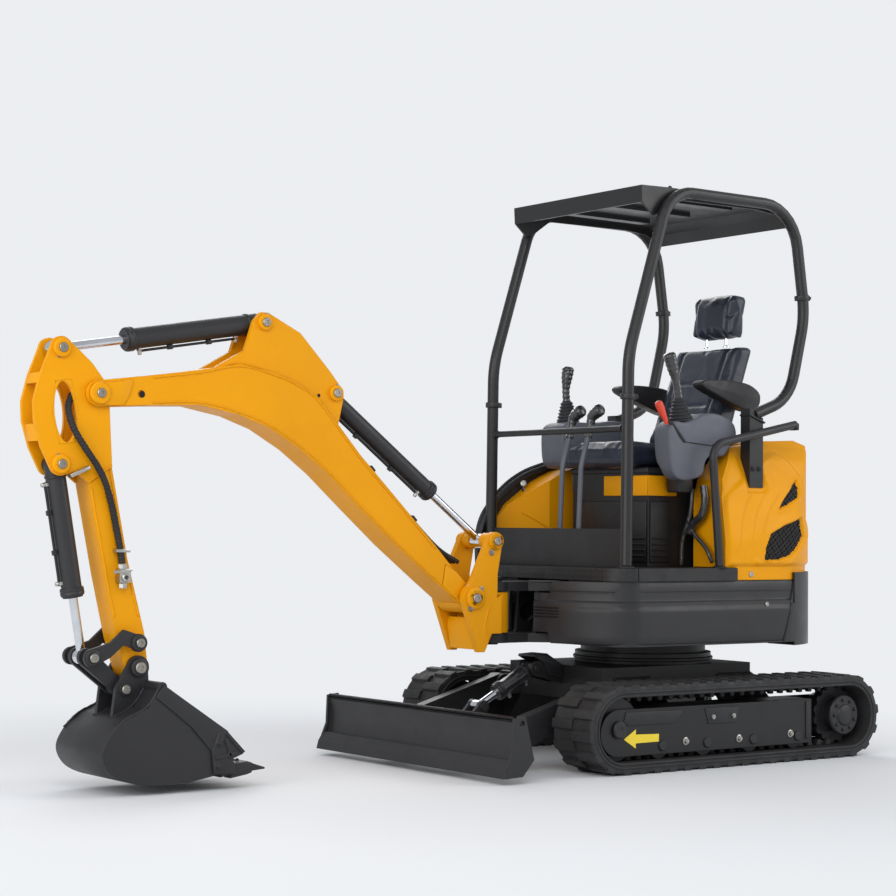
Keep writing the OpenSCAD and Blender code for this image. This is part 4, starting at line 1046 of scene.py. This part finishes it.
class EXCAVATOR_OT_bucket(bpy.types.Operator):
    """Adds the bucket's rolled back, teeth, side cutters, welds and the linkage pins"""

    bl_idname = "excavator.bucket"
    bl_label = "Bucket fittings"

    def execute(self, context):
        cutters = build(
            lambda bm: prism(bm, [(2150, 211), (2184, 206), (2212, 140), (2204, 62), (2114, 56), (2114, 92),
                                  (2132, 108), (2084, 126), (2076, 136)], 180, 190, 3),
            lambda bm: [prism(bm, o, 189, 195, 2)
                        for o in ([(2150, 208), (2160, 200), (2090, 128), (2078, 135)],
                                  [(2200, 126), (2198, 112), (2112, 124), (2116, 138)],
                                  [(2150, 188), (2164, 184), (2140, 112), (2130, 112)])],
            lambda bm: [bolt(bm, (x, 189, z), LEFT, 18) for x, z in ((2182, 168), (2188, 88))],
            lambda bm: prism(bm, [(2406, 384), (2438, 342), (2300, 236), (2200, 128), (2150, 150),
                                  (2145, 209)], 180, 187, 2.5),
            lambda bm: collar(bm, BUCKET_PIV, 69.5, 19, 33, 11, 14),
            lambda bm: weld(bm, [(2412, 176, 390), (2468, 176, 310), (2554, 176, 268), (2612, 176, 218)],
                            4.0, 4),
            lambda bm: [weld(bm, [(2412, y, 384), (2468, y, 308), (2552, y, 266)], 4.0, 4)
                        for y in (51, 69)],
            mirrored)
        piece("bucket_cutters", cutters, "tool_paint", "bucket")
        piece("bucket_back", build(self.back), "tool_paint", "bucket", 50.0)
        teeth = build(*[(lambda bm, y=y: self.tooth(bm, y)) for y in (-154, -51.3, 51.3, 154)])
        piece("bucket_teeth", teeth, "tool_paint", "bucket")
        pins = build(lambda bm: [pin_head(bm, LINK_Q, 79, 1)], mirrored,
                     lambda bm: [cross_pin(bm, LINK_Q, s * 52, s * 80) for s in (1, -1)])
        piece("bucket_pins", pins, "pin_steel", "bucket")
        heads = build(lambda bm: [pin_head(bm, p, 97, 1) for p in (LINK_K, LINK_G)], mirrored)
        piece("link_pins", heads, "pin_steel", "guide_link")
        rings = build(lambda bm: [collar(bm, p, 86, 17, 30, 6, 9, 4, 36) for p in (LINK_K, LINK_G)],
                      mirrored)
        piece("link_collars", rings, "tool_paint", "guide_link")
        return {"FINISHED"}

    def back(self, bm):
        """Rolled plate round the bucket's back, over the solid's flats."""
        route = [(p.x, p.z) for p in smooth_path([(x, 0, z) for x, z in BUCKET_BACK], 8)]
        prism(bm, route + list(reversed(moved_in(route, -10))), -180.5, 180.5, 1.5)

    def tooth(self, bm, y):
        prism(bm, [(2128, 40), (2128, 92), (2060, 98), (2040, 92), (2040, 56), (2060, 50)],
              y - 27.5, y + 27.5, 5)
        ends = [((2046, 78), 19, 14), ((2018, 74), 17, 9), ((1990, 69.5), 15, 4)]
        rings = [[bm.verts.new((p[0], y + sy * w, p[1] + sz * h))
                  for sy, sz in ((-1, -1), (1, -1), (1, 1), (-1, 1))] for p, w, h in ends]
        for a, b in zip(rings, rings[1:]):
            for k in range(4):
                bm.faces.new((a[k], a[(k + 1) % 4], b[(k + 1) % 4], b[k]))
        bm.faces.new(rings[0])
        bm.faces.new(list(reversed(rings[-1])))
        bolt(bm, (2088, y, 96), UP, 15, False)


# House

# Lines on the hood's side. The first number runs from the slew axis backwards and round the
# tail's corner, and the second is Z
HOOD_ARCH = [(34, 1066), (61, 1092), (117, 1128), (208, 1180), (314, 1241), (380, 1264), (420, 1268),
             (460, 1256), (486, 1222), (506, 1170), (530, 1090), (548, 1000)]
HOOD_FOLDS = [[(80, 830), (86, 870), (93, 922), (120, 1014), (156, 1072), (204, 1123), (268, 1167)],
              [(160, 870), (167, 922), (180, 979), (207, 1037), (261, 1102), (348, 1169)],
              [(216, 880), (222, 923), (244, 980), (282, 1038), (337, 1096), (372, 1126)]]
HOOD_LIP = [(196, 812), (208, 797), (244, 787), (295, 786), (347, 794), (400, 813), (451, 844), (500, 874),
            (565, 920)]
HOOD_BROW = [(256, 930), (284, 946), (362, 978), (440, 1002), (490, 1014)]
GRILLES = [[(339, 1031), (400, 1052), (470, 1084), (474, 1154), (430, 1124), (376, 1072)],
           [(239, 818), (248, 873), (278, 926), (365, 963), (484, 996), (514, 920), (440, 864), (393, 839),
            (315, 822)]]
TAIL_X, TAIL_Y, TAIL_R = -320.0, 60.0, 416.0
ARM_IN = 225.0


def line_gap(u, z, line, sided=False):
    """Distance of a point from a line through points, negative on its left if sided."""
    best, side = 1e9, 1.0
    for (ax, az), (bx, bz) in zip(line, line[1:]):
        dx, dz = bx - ax, bz - az
        t = max(0.0, min(1.0, ((u - ax) * dx + (z - az) * dz) / (dx * dx + dz * dz)))
        gap = hypot(u - ax - t * dx, z - az - t * dz)
        if gap < best:
            best, side = gap, -1.0 if dx * (z - az) - dz * (u - ax) > 0 else 1.0
    return best * side if sided else best


def within(u, z, outline):
    """Distance inside an outline, negative outside it."""
    odd = False
    for (ax, az), (bx, bz) in zip(outline, outline[1:] + outline[:1]):
        if (az > z) != (bz > z) and u < ax + (z - az) * (bx - ax) / (bz - az):
            odd = not odd
    gap = line_gap(u, z, outline + outline[:1])
    return gap if odd else -gap


def ease(t):
    """Smooth step from 0 to 1."""
    t = max(0.0, min(1.0, t))
    return t * t * (3 - 2 * t)


def bulge(gap, width):
    """Bell curve that is 1 at no distance."""
    return 2.718 ** -((gap / width) ** 2)


class HoodSide:
    """Raised skin on one side of the hood, with its arch, folds, lip and grille openings."""

    low, high = 793.0, 1298.0

    def __init__(self):
        self.surface = Surface("hood")

    def front(self, z):
        return 30.0 + max(0.0, z - 1080) * 0.29 + max(0.0, z - 1150) * 0.56 + max(0.0, z - 1282) * 6.4

    def rear(self, z):
        return 676.0 - max(0.0, z - 1195) * 0.34

    def lift(self, u, z):
        edge = min(u - self.front(z), self.rear(z) - u, z - self.low, self.high - z,
                   max(176 - u, u - 271, 1108 - z))
        arch = within(u, z, HOOD_ARCH + [(700, 900), (700, 600), (-60, 600), (-60, 1000)])
        rise = 3.0 + 8.5 * ease((arch + 8) / 15) + 1.5 * bulge(arch - 9, 8) - 2.4 * bulge(arch + 14, 8)
        for fold, height in zip(HOOD_FOLDS, (5.4, 4.6, 3.6)):
            gap = line_gap(u, z, fold, True)
            ends = min(hypot(u - fold[k][0], z - fold[k][1]) for k in (0, -1))
            rise += height * (ease(1 + gap / 62) if gap < 0 else ease(1 - gap / 13)) * ease(ends / 60)
        rise += 8.0 * bulge(line_gap(u, z, HOOD_LIP), 13) + 4.5 * bulge(line_gap(u, z, HOOD_BROW), 9)
        hole = max(within(u, z, outline) for outline in GRILLES)
        rise += 3.5 * bulge(hole + 7, 7)
        rise = rise * ease(-hole / 5) if hole < 0 else 0.0
        return 0.6 + max(0.0, rise) * ease(edge / 16)

    def place(self, u, z, lift):
        if u < -TAIL_X:
            way, base = Vector(LEFT), Vector((-u, 0, z))
        else:
            turn = (u + TAIL_X) / TAIL_R
            way, base = Vector((-sin(turn), cos(turn), 0)), Vector((TAIL_X, TAIL_Y, z))
        at, _ = self.surface.hit(base + way * 2000, -way)
        return at + way * lift

    def skin(self, bm, step=6.0):
        """Grid over the side, laid down close to the hood where the grilles are."""
        across, up = int(650 / step), int((self.high - self.low) / step)
        zs = [self.low + (self.high - self.low) * j / up for j in range(up + 1)]
        grid = []
        for i in range(across + 1):
            us = [self.front(z) + (self.rear(z) - self.front(z)) * i / across for z in zs]
            grid.append([bm.verts.new(self.place(u, z, self.lift(u, z))) for u, z in zip(us, zs)])
        for i in range(across):
            for j in range(up):
                bm.faces.new((grid[i][j], grid[i + 1][j], grid[i + 1][j + 1], grid[i][j + 1]))

    # Dark sheet in each grille opening: painted shade for the dark space behind the grille
    def grille_shade_sheet(self, bm):
        for outline in GRILLES:
            cu, cz = (sum(p[k] for p in outline) / len(outline) for k in (0, 1))
            edge = [(a[0] + (b[0] - a[0]) * k / 10, a[1] + (b[1] - a[1]) * k / 10)
                    for a, b in zip(outline, outline[1:] + outline[:1]) for k in range(10)]
            rings = [[bm.verts.new(self.place(cu + (u - cu) * t / 12, cz + (z - cz) * t / 12, 1.7))
                      for u, z in edge] for t in range(1, 13)]
            bm.faces.new(rings[0])
            for a, b in zip(rings, rings[1:]):
                for k in range(len(a)):
                    bm.faces.new((a[k - 1], a[k], b[k], b[k - 1]))

    def wires(self, bm):
        """Two sets of slanting wires across each grille."""
        step = size("grille_step")
        for outline in GRILLES:
            cu = sum(p[0] for p in outline) / len(outline)
            cz = sum(p[1] for p in outline) / len(outline)
            for angle in (0.6, 2.2):
                du, dz = cos(angle), sin(angle)
                for row in range(-14, 15):
                    run = []
                    for k in range(-36, 38):
                        u = cu + du * k * 6 - dz * row * step
                        z = cz + dz * k * 6 + du * row * step
                        if within(u, z, outline) > -1.5:
                            run.append(self.place(u, z, 3.4 + 0.8 * (-1) ** row))
                            continue
                        if len(run) > 1:
                            tube(bm, run, 2.1, 6)
                        run = []


class EXCAVATOR_OT_house(bpy.types.Operator):
    """Adds the hood's skin, grilles and locks, the counterweight's wings, skirt panels and tank trims"""

    bl_idname = "excavator.house"
    bl_label = "House panels"

    def execute(self, context):
        side = HoodSide()
        piece("hood_skin", build(side.skin, mirrored), "yellow_paint", "house", 60.0)
        # Painted shade behind the grille wires
        piece("grille_shade_sheets", build(side.grille_shade_sheet, mirrored), "painted_gap_shade", "house")
        piece("grille_wires", build(side.wires, mirrored), "frame_black", "house")
        piece("wings", build(self.wing, mirrored), "dark_cast", "house", 50.0)
        piece("seams", build(self.seams, mirrored), "painted_gap_shade", "house")
        piece("locks", build(lambda bm: self.lock(bm, side.place(170, 762, 0.4), LEFT, 12),
                             lambda bm: self.lock(bm, (-245, 493, 638), LEFT, 10),
                             lambda bm: self.lock(bm, side.place(368, 1137, 5.0), (-0.12, 0.95, 0.25), 8),
                             mirrored), "zinc", "house")
        piece("skirt_skin", build(self.skirt, mirrored), "dark_paint", "house", 40.0)
        self.right_side()
        return {"FINISHED"}

    def skirt(self, bm):
        """Pressed skirt panel, led round the front corner to the bracket's ears."""
        corner = smooth_path([(400, 491, 0), (470, 485, 0), (538, 446, 0), (588, 372, 0), (628, 278, 0),
                              (655, 176, 0), (662, 124, 0), (663, 80, 0)], 6)
        profile = (
            (484, 4), (487, -2), (494, -5), (520, -6), (600, -6.5), (612, -7), (619, -6.6), (626, -5),
            (632, -2.2), (637, -0.8), (650, -0.6), (654, 3), (658, 8), (663, 9), (687, 9), (689, 11.5),
            (693, 11.5), (695, 8.5), (726, 8.5), (733, 11))
        rows = []
        for k in range(-1, 22):
            row = []
            for z, inset in profile:
                start = -325 - 88 * (min(z, 715) - 466) / 249
                x = start + (390 - start) * max(k, 0) / 21
                y = 491 if x > -320 else 61 + sqrt(430 ** 2 - (x + 320) ** 2)
                row.append(bm.verts.new((x, y - (max(inset, 2) if k < 0 else inset), z)))
            rows.append(row)
        for k, at in enumerate(corner):
            way = (corner[min(k + 1, len(corner) - 1)] - corner[max(k - 1, 0)]).normalized()
            low, high = (484, 733) if at.y > 172 else (528, 682)
            full = ease((at.y - 172) / 130)
            row = []
            for z, inset in profile:
                inset *= full if inset < 0 else 1.0
                row.append(
                    bm.verts.new((at.x + way.y * inset, at.y - way.x * inset, max(low, min(high, z)))))
            rows.append(row)
        for a, b in zip(rows, rows[1:]):
            for j in range(len(a) - 1):
                bm.faces.new((a[j], b[j], b[j + 1], a[j + 1]))

    def lock(self, bm, at, axis, r):
        turned(bm, [(0, 0), (r, 0), (r, 2.5), (r * 0.8, 4.5), (r * 0.55, 4.5), (r * 0.5, 3), (0, 3)],
               at, axis, 28)
        turned(bm, [(0, 2), (r * 0.18, 2), (r * 0.18, 6), (0, 6)], at, axis, 10)

    def wing(self, bm):
        """Forward wing of the counterweight over the skirt's rear end."""
        skirt = Surface("skirts")
        rows = []
        for k in range(33):
            z = 482 + (728 - 482) * k / 32
            edge = min(-343, max(-418, -343 - 82 * (z - 466) / 249))
            row = []
            for j in range(9):
                x = edge + (-423 - edge) * j / 8
                at = skirt.beside(x, z)
                row.append(bm.verts.new((x, at.y + (0.8 if j == 0 else 5.0 if j < 3 else 6.0), z)))
            rows.append(row)
        for low, high in zip(rows, rows[1:]):
            for j in range(8):
                bm.faces.new((low[j], low[j + 1], high[j + 1], high[j]))

    # Painted shade: dark tubes along the gap between the counterweight and the skirt, and as the slots on
    # the skirt's nose
    def seams(self, bm):
        skirt = Surface("skirts")
        line = [(-336 - 84 * (z - 466) / 249, z) for z in range(484, 703, 10)]
        tube(bm, [skirt.beside(x, z, -2.6) for x, z in line], 6.0, 10)
        for z in (626, 614, 602, 590):
            tube(bm, [(663.4, 88, z), (662.6, 122, z), (656, 175, z), (644.5, 220, z)], 3.6, 8)

    def right_side(self):
        """Trim band, ridge and key lock of the tank cover."""
        rim = [(534, 856), (526, 926), (500, 990), (450, 1052), (390, 1109), (320, 1155), (235, 1192),
               (90, 1231), (-16, 1242)]
        band = build(lambda bm: tube(bm, smooth_path([(x, -458, z) for x, z in rim], 6), 11, 12),
                     lambda bm: tube(bm, smooth_path([(x, -452, z - 9) for x, z in rim], 6), 7, 10))
        piece("tank_trim", band, "black_plastic", "house")
        shell = build(lambda bm: tube(bm, smooth_path([(x, -476, z + 14) for x, z in rim], 6), 8, 12))
        piece("tank_rim", shell, "dark_paint", "house")
        key = build(lambda bm: self.lock(bm, (300, -446, 1138), (0.45, 0.8, 0.2), 15),
                    lambda bm: box(bm, (302, -443, 1066), (306, -433, 1120), 1.5),
                    lambda bm: box(bm, (310, -440, 1078), (313, -424, 1122), 1.5, 2,
                                   Matrix.Rotation(0.25, 4, "X")))
        piece("tank_key", key, "zinc", "house")
        cover = Surface("right_cover")
        folds = ([(250, 950), (300, 985), (345, 1012)], [(262, 860), (330, 905), (390, 940)])

        def ridges(bm):
            for fold in folds:
                points = [cover.beside(x, z, 0.5) for x, z in fold]
                if None not in points:
                    tube(bm, smooth_path(points, 6), 4.5, 10)

        piece("tank_ridges", build(ridges), "yellow_paint", "house")


# Operator's place

def soften(outline, rounds=3):
    """Closed outline with its corners cut round."""
    for _ in range(rounds):
        cut = []
        for (ax, az), (bx, bz) in zip(outline, outline[1:] + outline[:1]):
            cut += [(ax * 0.78 + bx * 0.22, az * 0.78 + bz * 0.22),
                    (ax * 0.22 + bx * 0.78, az * 0.22 + bz * 0.78)]
        outline = cut
    return outline


class EXCAVATOR_OT_controls(bpy.types.Operator):
    """Adds the consoles, armrest covers, joysticks, levers, pedals, seat base fittings and hoses"""

    bl_idname = "excavator.controls"
    bl_label = "Operator's controls"

    def execute(self, context):
        left = [(208, 1196), (224, 1344), (186, 1388), (126, 1380), (66, 1400), (14, 1426), (-72, 1424),
                (-150, 1394), (-170, 1338), (-126, 1282), (-88, 1242), (-29, 1258), (14, 1226), (24, 1162),
                (120, 1142), (178, 1152)]
        right = [(196, 1196), (246, 1222), (252, 1376), (205, 1406), (60, 1402), (-60, 1420), (-146, 1400),
                 (-172, 1334), (-150, 1300), (-40, 1246), (60, 1228)]
        humps = build(lambda bm: prism(bm, soften(left, 2), 242, 398, 13, 4),
                      self.taper,
                      lambda bm: prism(bm, soften(right), -398, -242, 17, 5),
                      lambda bm: box(bm, (2, -299, 1102), (148, -241, 1238), 6))
        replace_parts(piece("console_humps", humps, "grey_plastic", "house", 50.0), "consoles")
        slot = build(lambda bm: tube(bm, smooth_path([(206, 376, 1386), (193, 392, 1370), (164, 397, 1334),
                                                      (134, 397, 1302)], 8), 7.5, 12),
                     lambda bm: tube(bm, [(134, 397.5, 1302), (60, 397.5, 1296), (-24, 397.5, 1290)], 3, 8),
                     lambda bm: box(bm, (-62, 394, 1272), (-22, 400, 1298), 2))
        piece("console_slot", slot, "black_plastic", "house")
        rest = [(-62, 1558), (-84, 1574), (-200, 1578), (-340, 1570), (-412, 1532), (-408, 1474),
                (-352, 1444), (-250, 1474), (-120, 1522), (-74, 1540)]
        pads = build(lambda bm: prism(bm, soften(rest, 2), ARM_IN, ARM_IN + 66, 9, 4), mirrored)
        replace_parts(piece("armrest_pads", pads, "black_plastic", "house", 50.0), "armrests")
        boots = build(lambda bm: self.boot(bm, (92, 330, 1392), (0.16, 0, 1)),
                      lambda bm: self.boot(bm, (147, -330, 1404), (0.1, 0, 1)))
        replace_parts(piece("joystick_boots", boots, "boot_rubber", "house", 24.0),
                    "joysticks")
        grips = build(lambda bm: self.grip(bm, [(104, 330, 1484), (116, 330, 1540), (136, 330, 1600),
                                                (154, 330, 1650)]),
                      lambda bm: self.grip(bm, [(156, -330, 1492), (160, -330, 1540), (156, -330, 1590),
                                                (150, -330, 1628)]))
        piece("joystick_grips", grips, "film_wrap", "house", 60.0)
        self.levers()
        self.base()
        return {"FINISHED"}

    def taper(self, bm):
        """Draws the console's inner side in towards its front and its foot."""
        for v in bm.verts:
            v.co.y += (398 - v.co.y) * min(0.55, 0.4 * ease((v.co.x - 40) / 150)
                                           + 0.25 * ease((1240 - v.co.z) / 90))

    def boot(self, bm, at, axis):
        profile = [(50, 0), (50, 6)]
        for k in range(6):
            r, h = 45 - k * 4.2, 8 + k * 14
            profile += [(r, h), (r + 4, h + 4), (r + 4, h + 7), (r - 2, h + 11)]
        turned(bm, [(0, 0)] + profile + [(17, 96), (0, 98)], at, axis, 40)

    def grip(self, bm, points):
        path = smooth_path(points, 8)
        whole = sum((b - a).length for a, b in zip(path, path[1:]))
        tube(bm, path, lambda run: (17 + 9 * ease(run / whole) - 4 * bulge(run - whole * 0.45, 40)
                                    + 1.4 * sin(run * 0.31)), 18)
        turned(bm, [(0, -6), (20, -6), (26, 0), (27, 9), (21, 18), (0, 20)],
               path[-1], path[-1] - path[-3], 24)

    def levers(self):
        red = build(lambda bm: tube(bm, [(208, 372, 1374), (212, 372, 1382), (244, 372, 1438),
                                         (252, 372, 1452)], lambda run: 9 + 8 * ease((run - 8) / 18), 20),
                    lambda bm: turned(bm, [(0, 0), (17, 0), (14, 9), (7, 13), (0, 14)], (252, 372, 1452),
                                      (0.5, 0, 0.87), 20))
        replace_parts(piece("safety_grip", red, "red_plastic", "house"), "safety_lever")
        shafts = build(
            lambda bm: box(bm, (30, 262, 1096), (110, 340, 1190), 8),
            *[(lambda bm, y=y: box(bm, (384, y - 30, 856), (446, y + 30, 864), 3)) for y in (-60, 60)],
            *[(lambda bm, y=y, k=k: box(bm, (388 + 9 * k, y - 27, 863), (392 + 9 * k, y + 27, 867), 1))
              for y in (-60, 60) for k in range(6)])
        piece("lever_shafts", shafts, "black_plastic", "house")
        wraps = build(*[(lambda bm, y=y: self.grip(bm, [(364, y, 1322), (354, y, 1366), (346, y + 6, 1408),
                                                        (344, y + 42, 1432)]))
                        for y in (-60, 60)])
        piece("lever_grips", wraps, "film_wrap", "house", 60.0)

    def base(self):
        bar = build(lambda bm: box(bm, (189.5, -34, 1082), (195, 242, 1166), 3),
                    lambda bm: box(bm, (34, 239.5, 1082), (194, 245, 1166), 3))
        piece("base_bar", bar, "yellow_paint", "house")
        panels = build(lambda bm: box(bm, (189.5, -215, 806), (194, 234, 1060), 4),
                       lambda bm: box(bm, (70, 239.5, 806), (180, 244, 1060), 4),
                       lambda bm: box(bm, (-300, -246, 1176), (200, 246, 1197), 5))
        piece("base_panels", panels, "black_plastic", "house")
        ribs = build(*[(lambda bm, z=z: tube(bm, [(195, 60, z), (195, 228, z)], 4.5, 12))
                       for z in (834, 858, 882, 906)],
                     *[(lambda bm, z=z: tube(bm, [(88, 245, z), (170, 245, z)], 4.5, 12))
                       for z in (834, 858, 882, 906)])
        piece("base_ribs", ribs, "frame_black", "house")
        hoses = build(lambda bm: tube(bm, smooth_path([(2, 372, 1124), (4, 384, 1062), (6, 366, 1004),
                                                       (8, 318, 966), (10, 296, 930)], 10), 17, 14),
                      lambda bm: tube(bm, smooth_path([(12, 306, 948), (10, 340, 914), (8, 392, 870),
                                                       (8, 432, 812)], 10), 9, 12),
                      lambda bm: tube(bm, smooth_path([(24, 330, 1112), (26, 318, 1010), (30, 276, 900),
                                                       (34, 272, 796)], 10), 9, 12))
        piece("cab_hoses", hoses, "film_wrap", "house", 60.0)


class EXCAVATOR_OT_canopy(bpy.types.Operator):
    """Adds the canopy's clamps, feet, rail ends, roof bolts and the swing bracket's fittings"""

    bl_idname = "excavator.canopy"
    bl_label = "Canopy and swing bracket fittings"

    def execute(self, context):
        clamps = build(lambda bm: self.clamp(bm, (479, 438, 1471), (-0.02, 0, 1)),
                       lambda bm: self.clamp(bm, (-503, 438, 1935), (0.15, 0, 1)),
                       mirrored)
        piece("tube_clamps", clamps, "dark_paint", "house")
        ends = build(
            lambda bm: turned(bm, [(24, 0), (38, 0), (38, 5), (30, 9), (24, 13)], (484, 438, 788.5), UP, 36),
            lambda bm: turned(bm, [(13, 0), (19, 0), (17, 8), (13, 10)], (479.4, 412, 1344), (0, -1, 0), 28),
            lambda bm: box(bm, (-272, 396, 1404), (-176, 458, 1412), 2, 2, Matrix.Rotation(-0.34, 4, "Y")),
            mirrored,
            lambda bm: turned(bm, [(17, 0), (32, 0), (32, 4), (22, 7), (17, 10)], (4.4, 471, 788.5), UP, 32),
            lambda bm: box(bm, (-440, 440, 1366), (-424, 488, 1396), 4))
        piece("tube_feet", ends, "frame_black", "house")
        bolts = build(
            lambda bm: [bolt(bm, (x, y, 2335.5), UP, 15) for x in (-220, 0, 215) for y in (120, 390)],
            lambda bm: [bolt(bm, (x, 451.5, z), LEFT, 15) for x, z in ((-240, 1200), (-205, 1200))],
            mirrored)
        piece("canopy_bolts", bolts, "dark_paint", "house")
        folds = build(lambda bm: [prism(bm, [(-236, 2334), (232, 2334), (226, 2340), (-230, 2340)],
                                        y - 30, y + 30, 2) for y in (130, 300)],
                      mirrored)
        piece("roof_beads", folds, "dark_paint", "house")
        self.swing()
        return {"FINISHED"}

    def clamp(self, bm, at, axis):
        turned(bm, [(24, -11), (30, -11), (31, -9), (31, 9), (30, 11), (24, 11)], at, axis, 32)
        x, y, z = at
        box(bm, (x - 44, y - 8, z - 11), (x - 26, y + 8, z + 11), 2)
        bolt(bm, (x - 36, y + 8, z), LEFT, 13, False)

    def swing(self):
        heads = build(lambda bm: [pin_head(bm, FOOT, 117.5, 1, 19), pin_head(bm, POST_PIN, 117.5, 1)],
                      lambda bm: [bolt(bm, (x, 105.5, z), LEFT, 16)
                                  for x, z in ((1002, 626), (952, 700), (900, 846))],
                      mirrored)
        piece("swing_pins", heads, "pin_steel", "swing_post")
        bosses = build(
            lambda bm: collar(bm, FOOT, 105, 17, 44, 8, 12, 6),
            lambda bm: collar(bm, POST_PIN, 105, 18, 34, 8, 12),
            lambda bm: weld(bm, [(906, 105.5, 640), (930, 105.5, 560), (912, 105.5, 500)], 4.0, 5),
            mirrored)
        web = build(lambda bm: prism(bm, [(966, 462), (984, 556), (974, 588), (946, 578), (928, 520),
                                          (926, 462)], -79, 79, 6, 3))
        piece("swing_web", web, "yellow_paint", "swing_post")
        piece("swing_bosses", bosses, "yellow_paint", "swing_post")
        caps = build(lambda bm: turned(bm, [(0, 0), (38, 0), (38, 6), (30, 9), (0, 9)],
                                       (815, 0, 740), UP, 36),
                     lambda bm: [bolt(bm, (815 + 22 * cos(a), 22 * sin(a), 748), UP, 12, False)
                                 for a in (0.5, 2.6, 4.7)],
                     lambda bm: [weld(bm, [(586, y, 729), (676, y * 0.45, 729)], 4.0) for y in (-148, 148)])
        piece("bracket_cap", caps, "dark_paint", "house")


PIECES = (
    EXCAVATOR_OT_finishes, EXCAVATOR_OT_seat, EXCAVATOR_OT_undercarriage, EXCAVATOR_OT_blade,
    EXCAVATOR_OT_boom, EXCAVATOR_OT_arm, EXCAVATOR_OT_bucket, EXCAVATOR_OT_house, EXCAVATOR_OT_controls,
    EXCAVATOR_OT_canopy, EXCAVATOR_OT_stage)


class EXCAVATOR_PT_panel(bpy.types.Panel):
    """Lists the excavator's pieces, sizes and colours"""

    bl_idname = "EXCAVATOR_PT_panel"
    bl_label = "Mini excavator"
    bl_space_type = "VIEW_3D"
    bl_region_type = "UI"
    bl_category = "Excavator"

    def draw(self, context):
        for group in (context.scene.excavator_sizes, context.scene.excavator_colours):
            for name in group.__annotations__:
                self.layout.prop(group, name)
        for operator in PIECES:
            self.layout.operator(operator.bl_idname)


CLASSES = (ExcavatorColours, ExcavatorSizes) + PIECES + (EXCAVATOR_PT_panel,)


def register():
    for cls in CLASSES:
        bpy.utils.register_class(cls)
    bpy.types.Scene.excavator_colours = PointerProperty(type=ExcavatorColours)
    bpy.types.Scene.excavator_sizes = PointerProperty(type=ExcavatorSizes)


def unregister():
    del bpy.types.Scene.excavator_sizes
    del bpy.types.Scene.excavator_colours
    for cls in reversed(CLASSES):
        bpy.utils.unregister_class(cls)


def main():
    register()
    for operator in PIECES:
        family, name = operator.bl_idname.split(".")
        getattr(getattr(bpy.ops, family), name)()


if __name__ == "__main__":
    main()
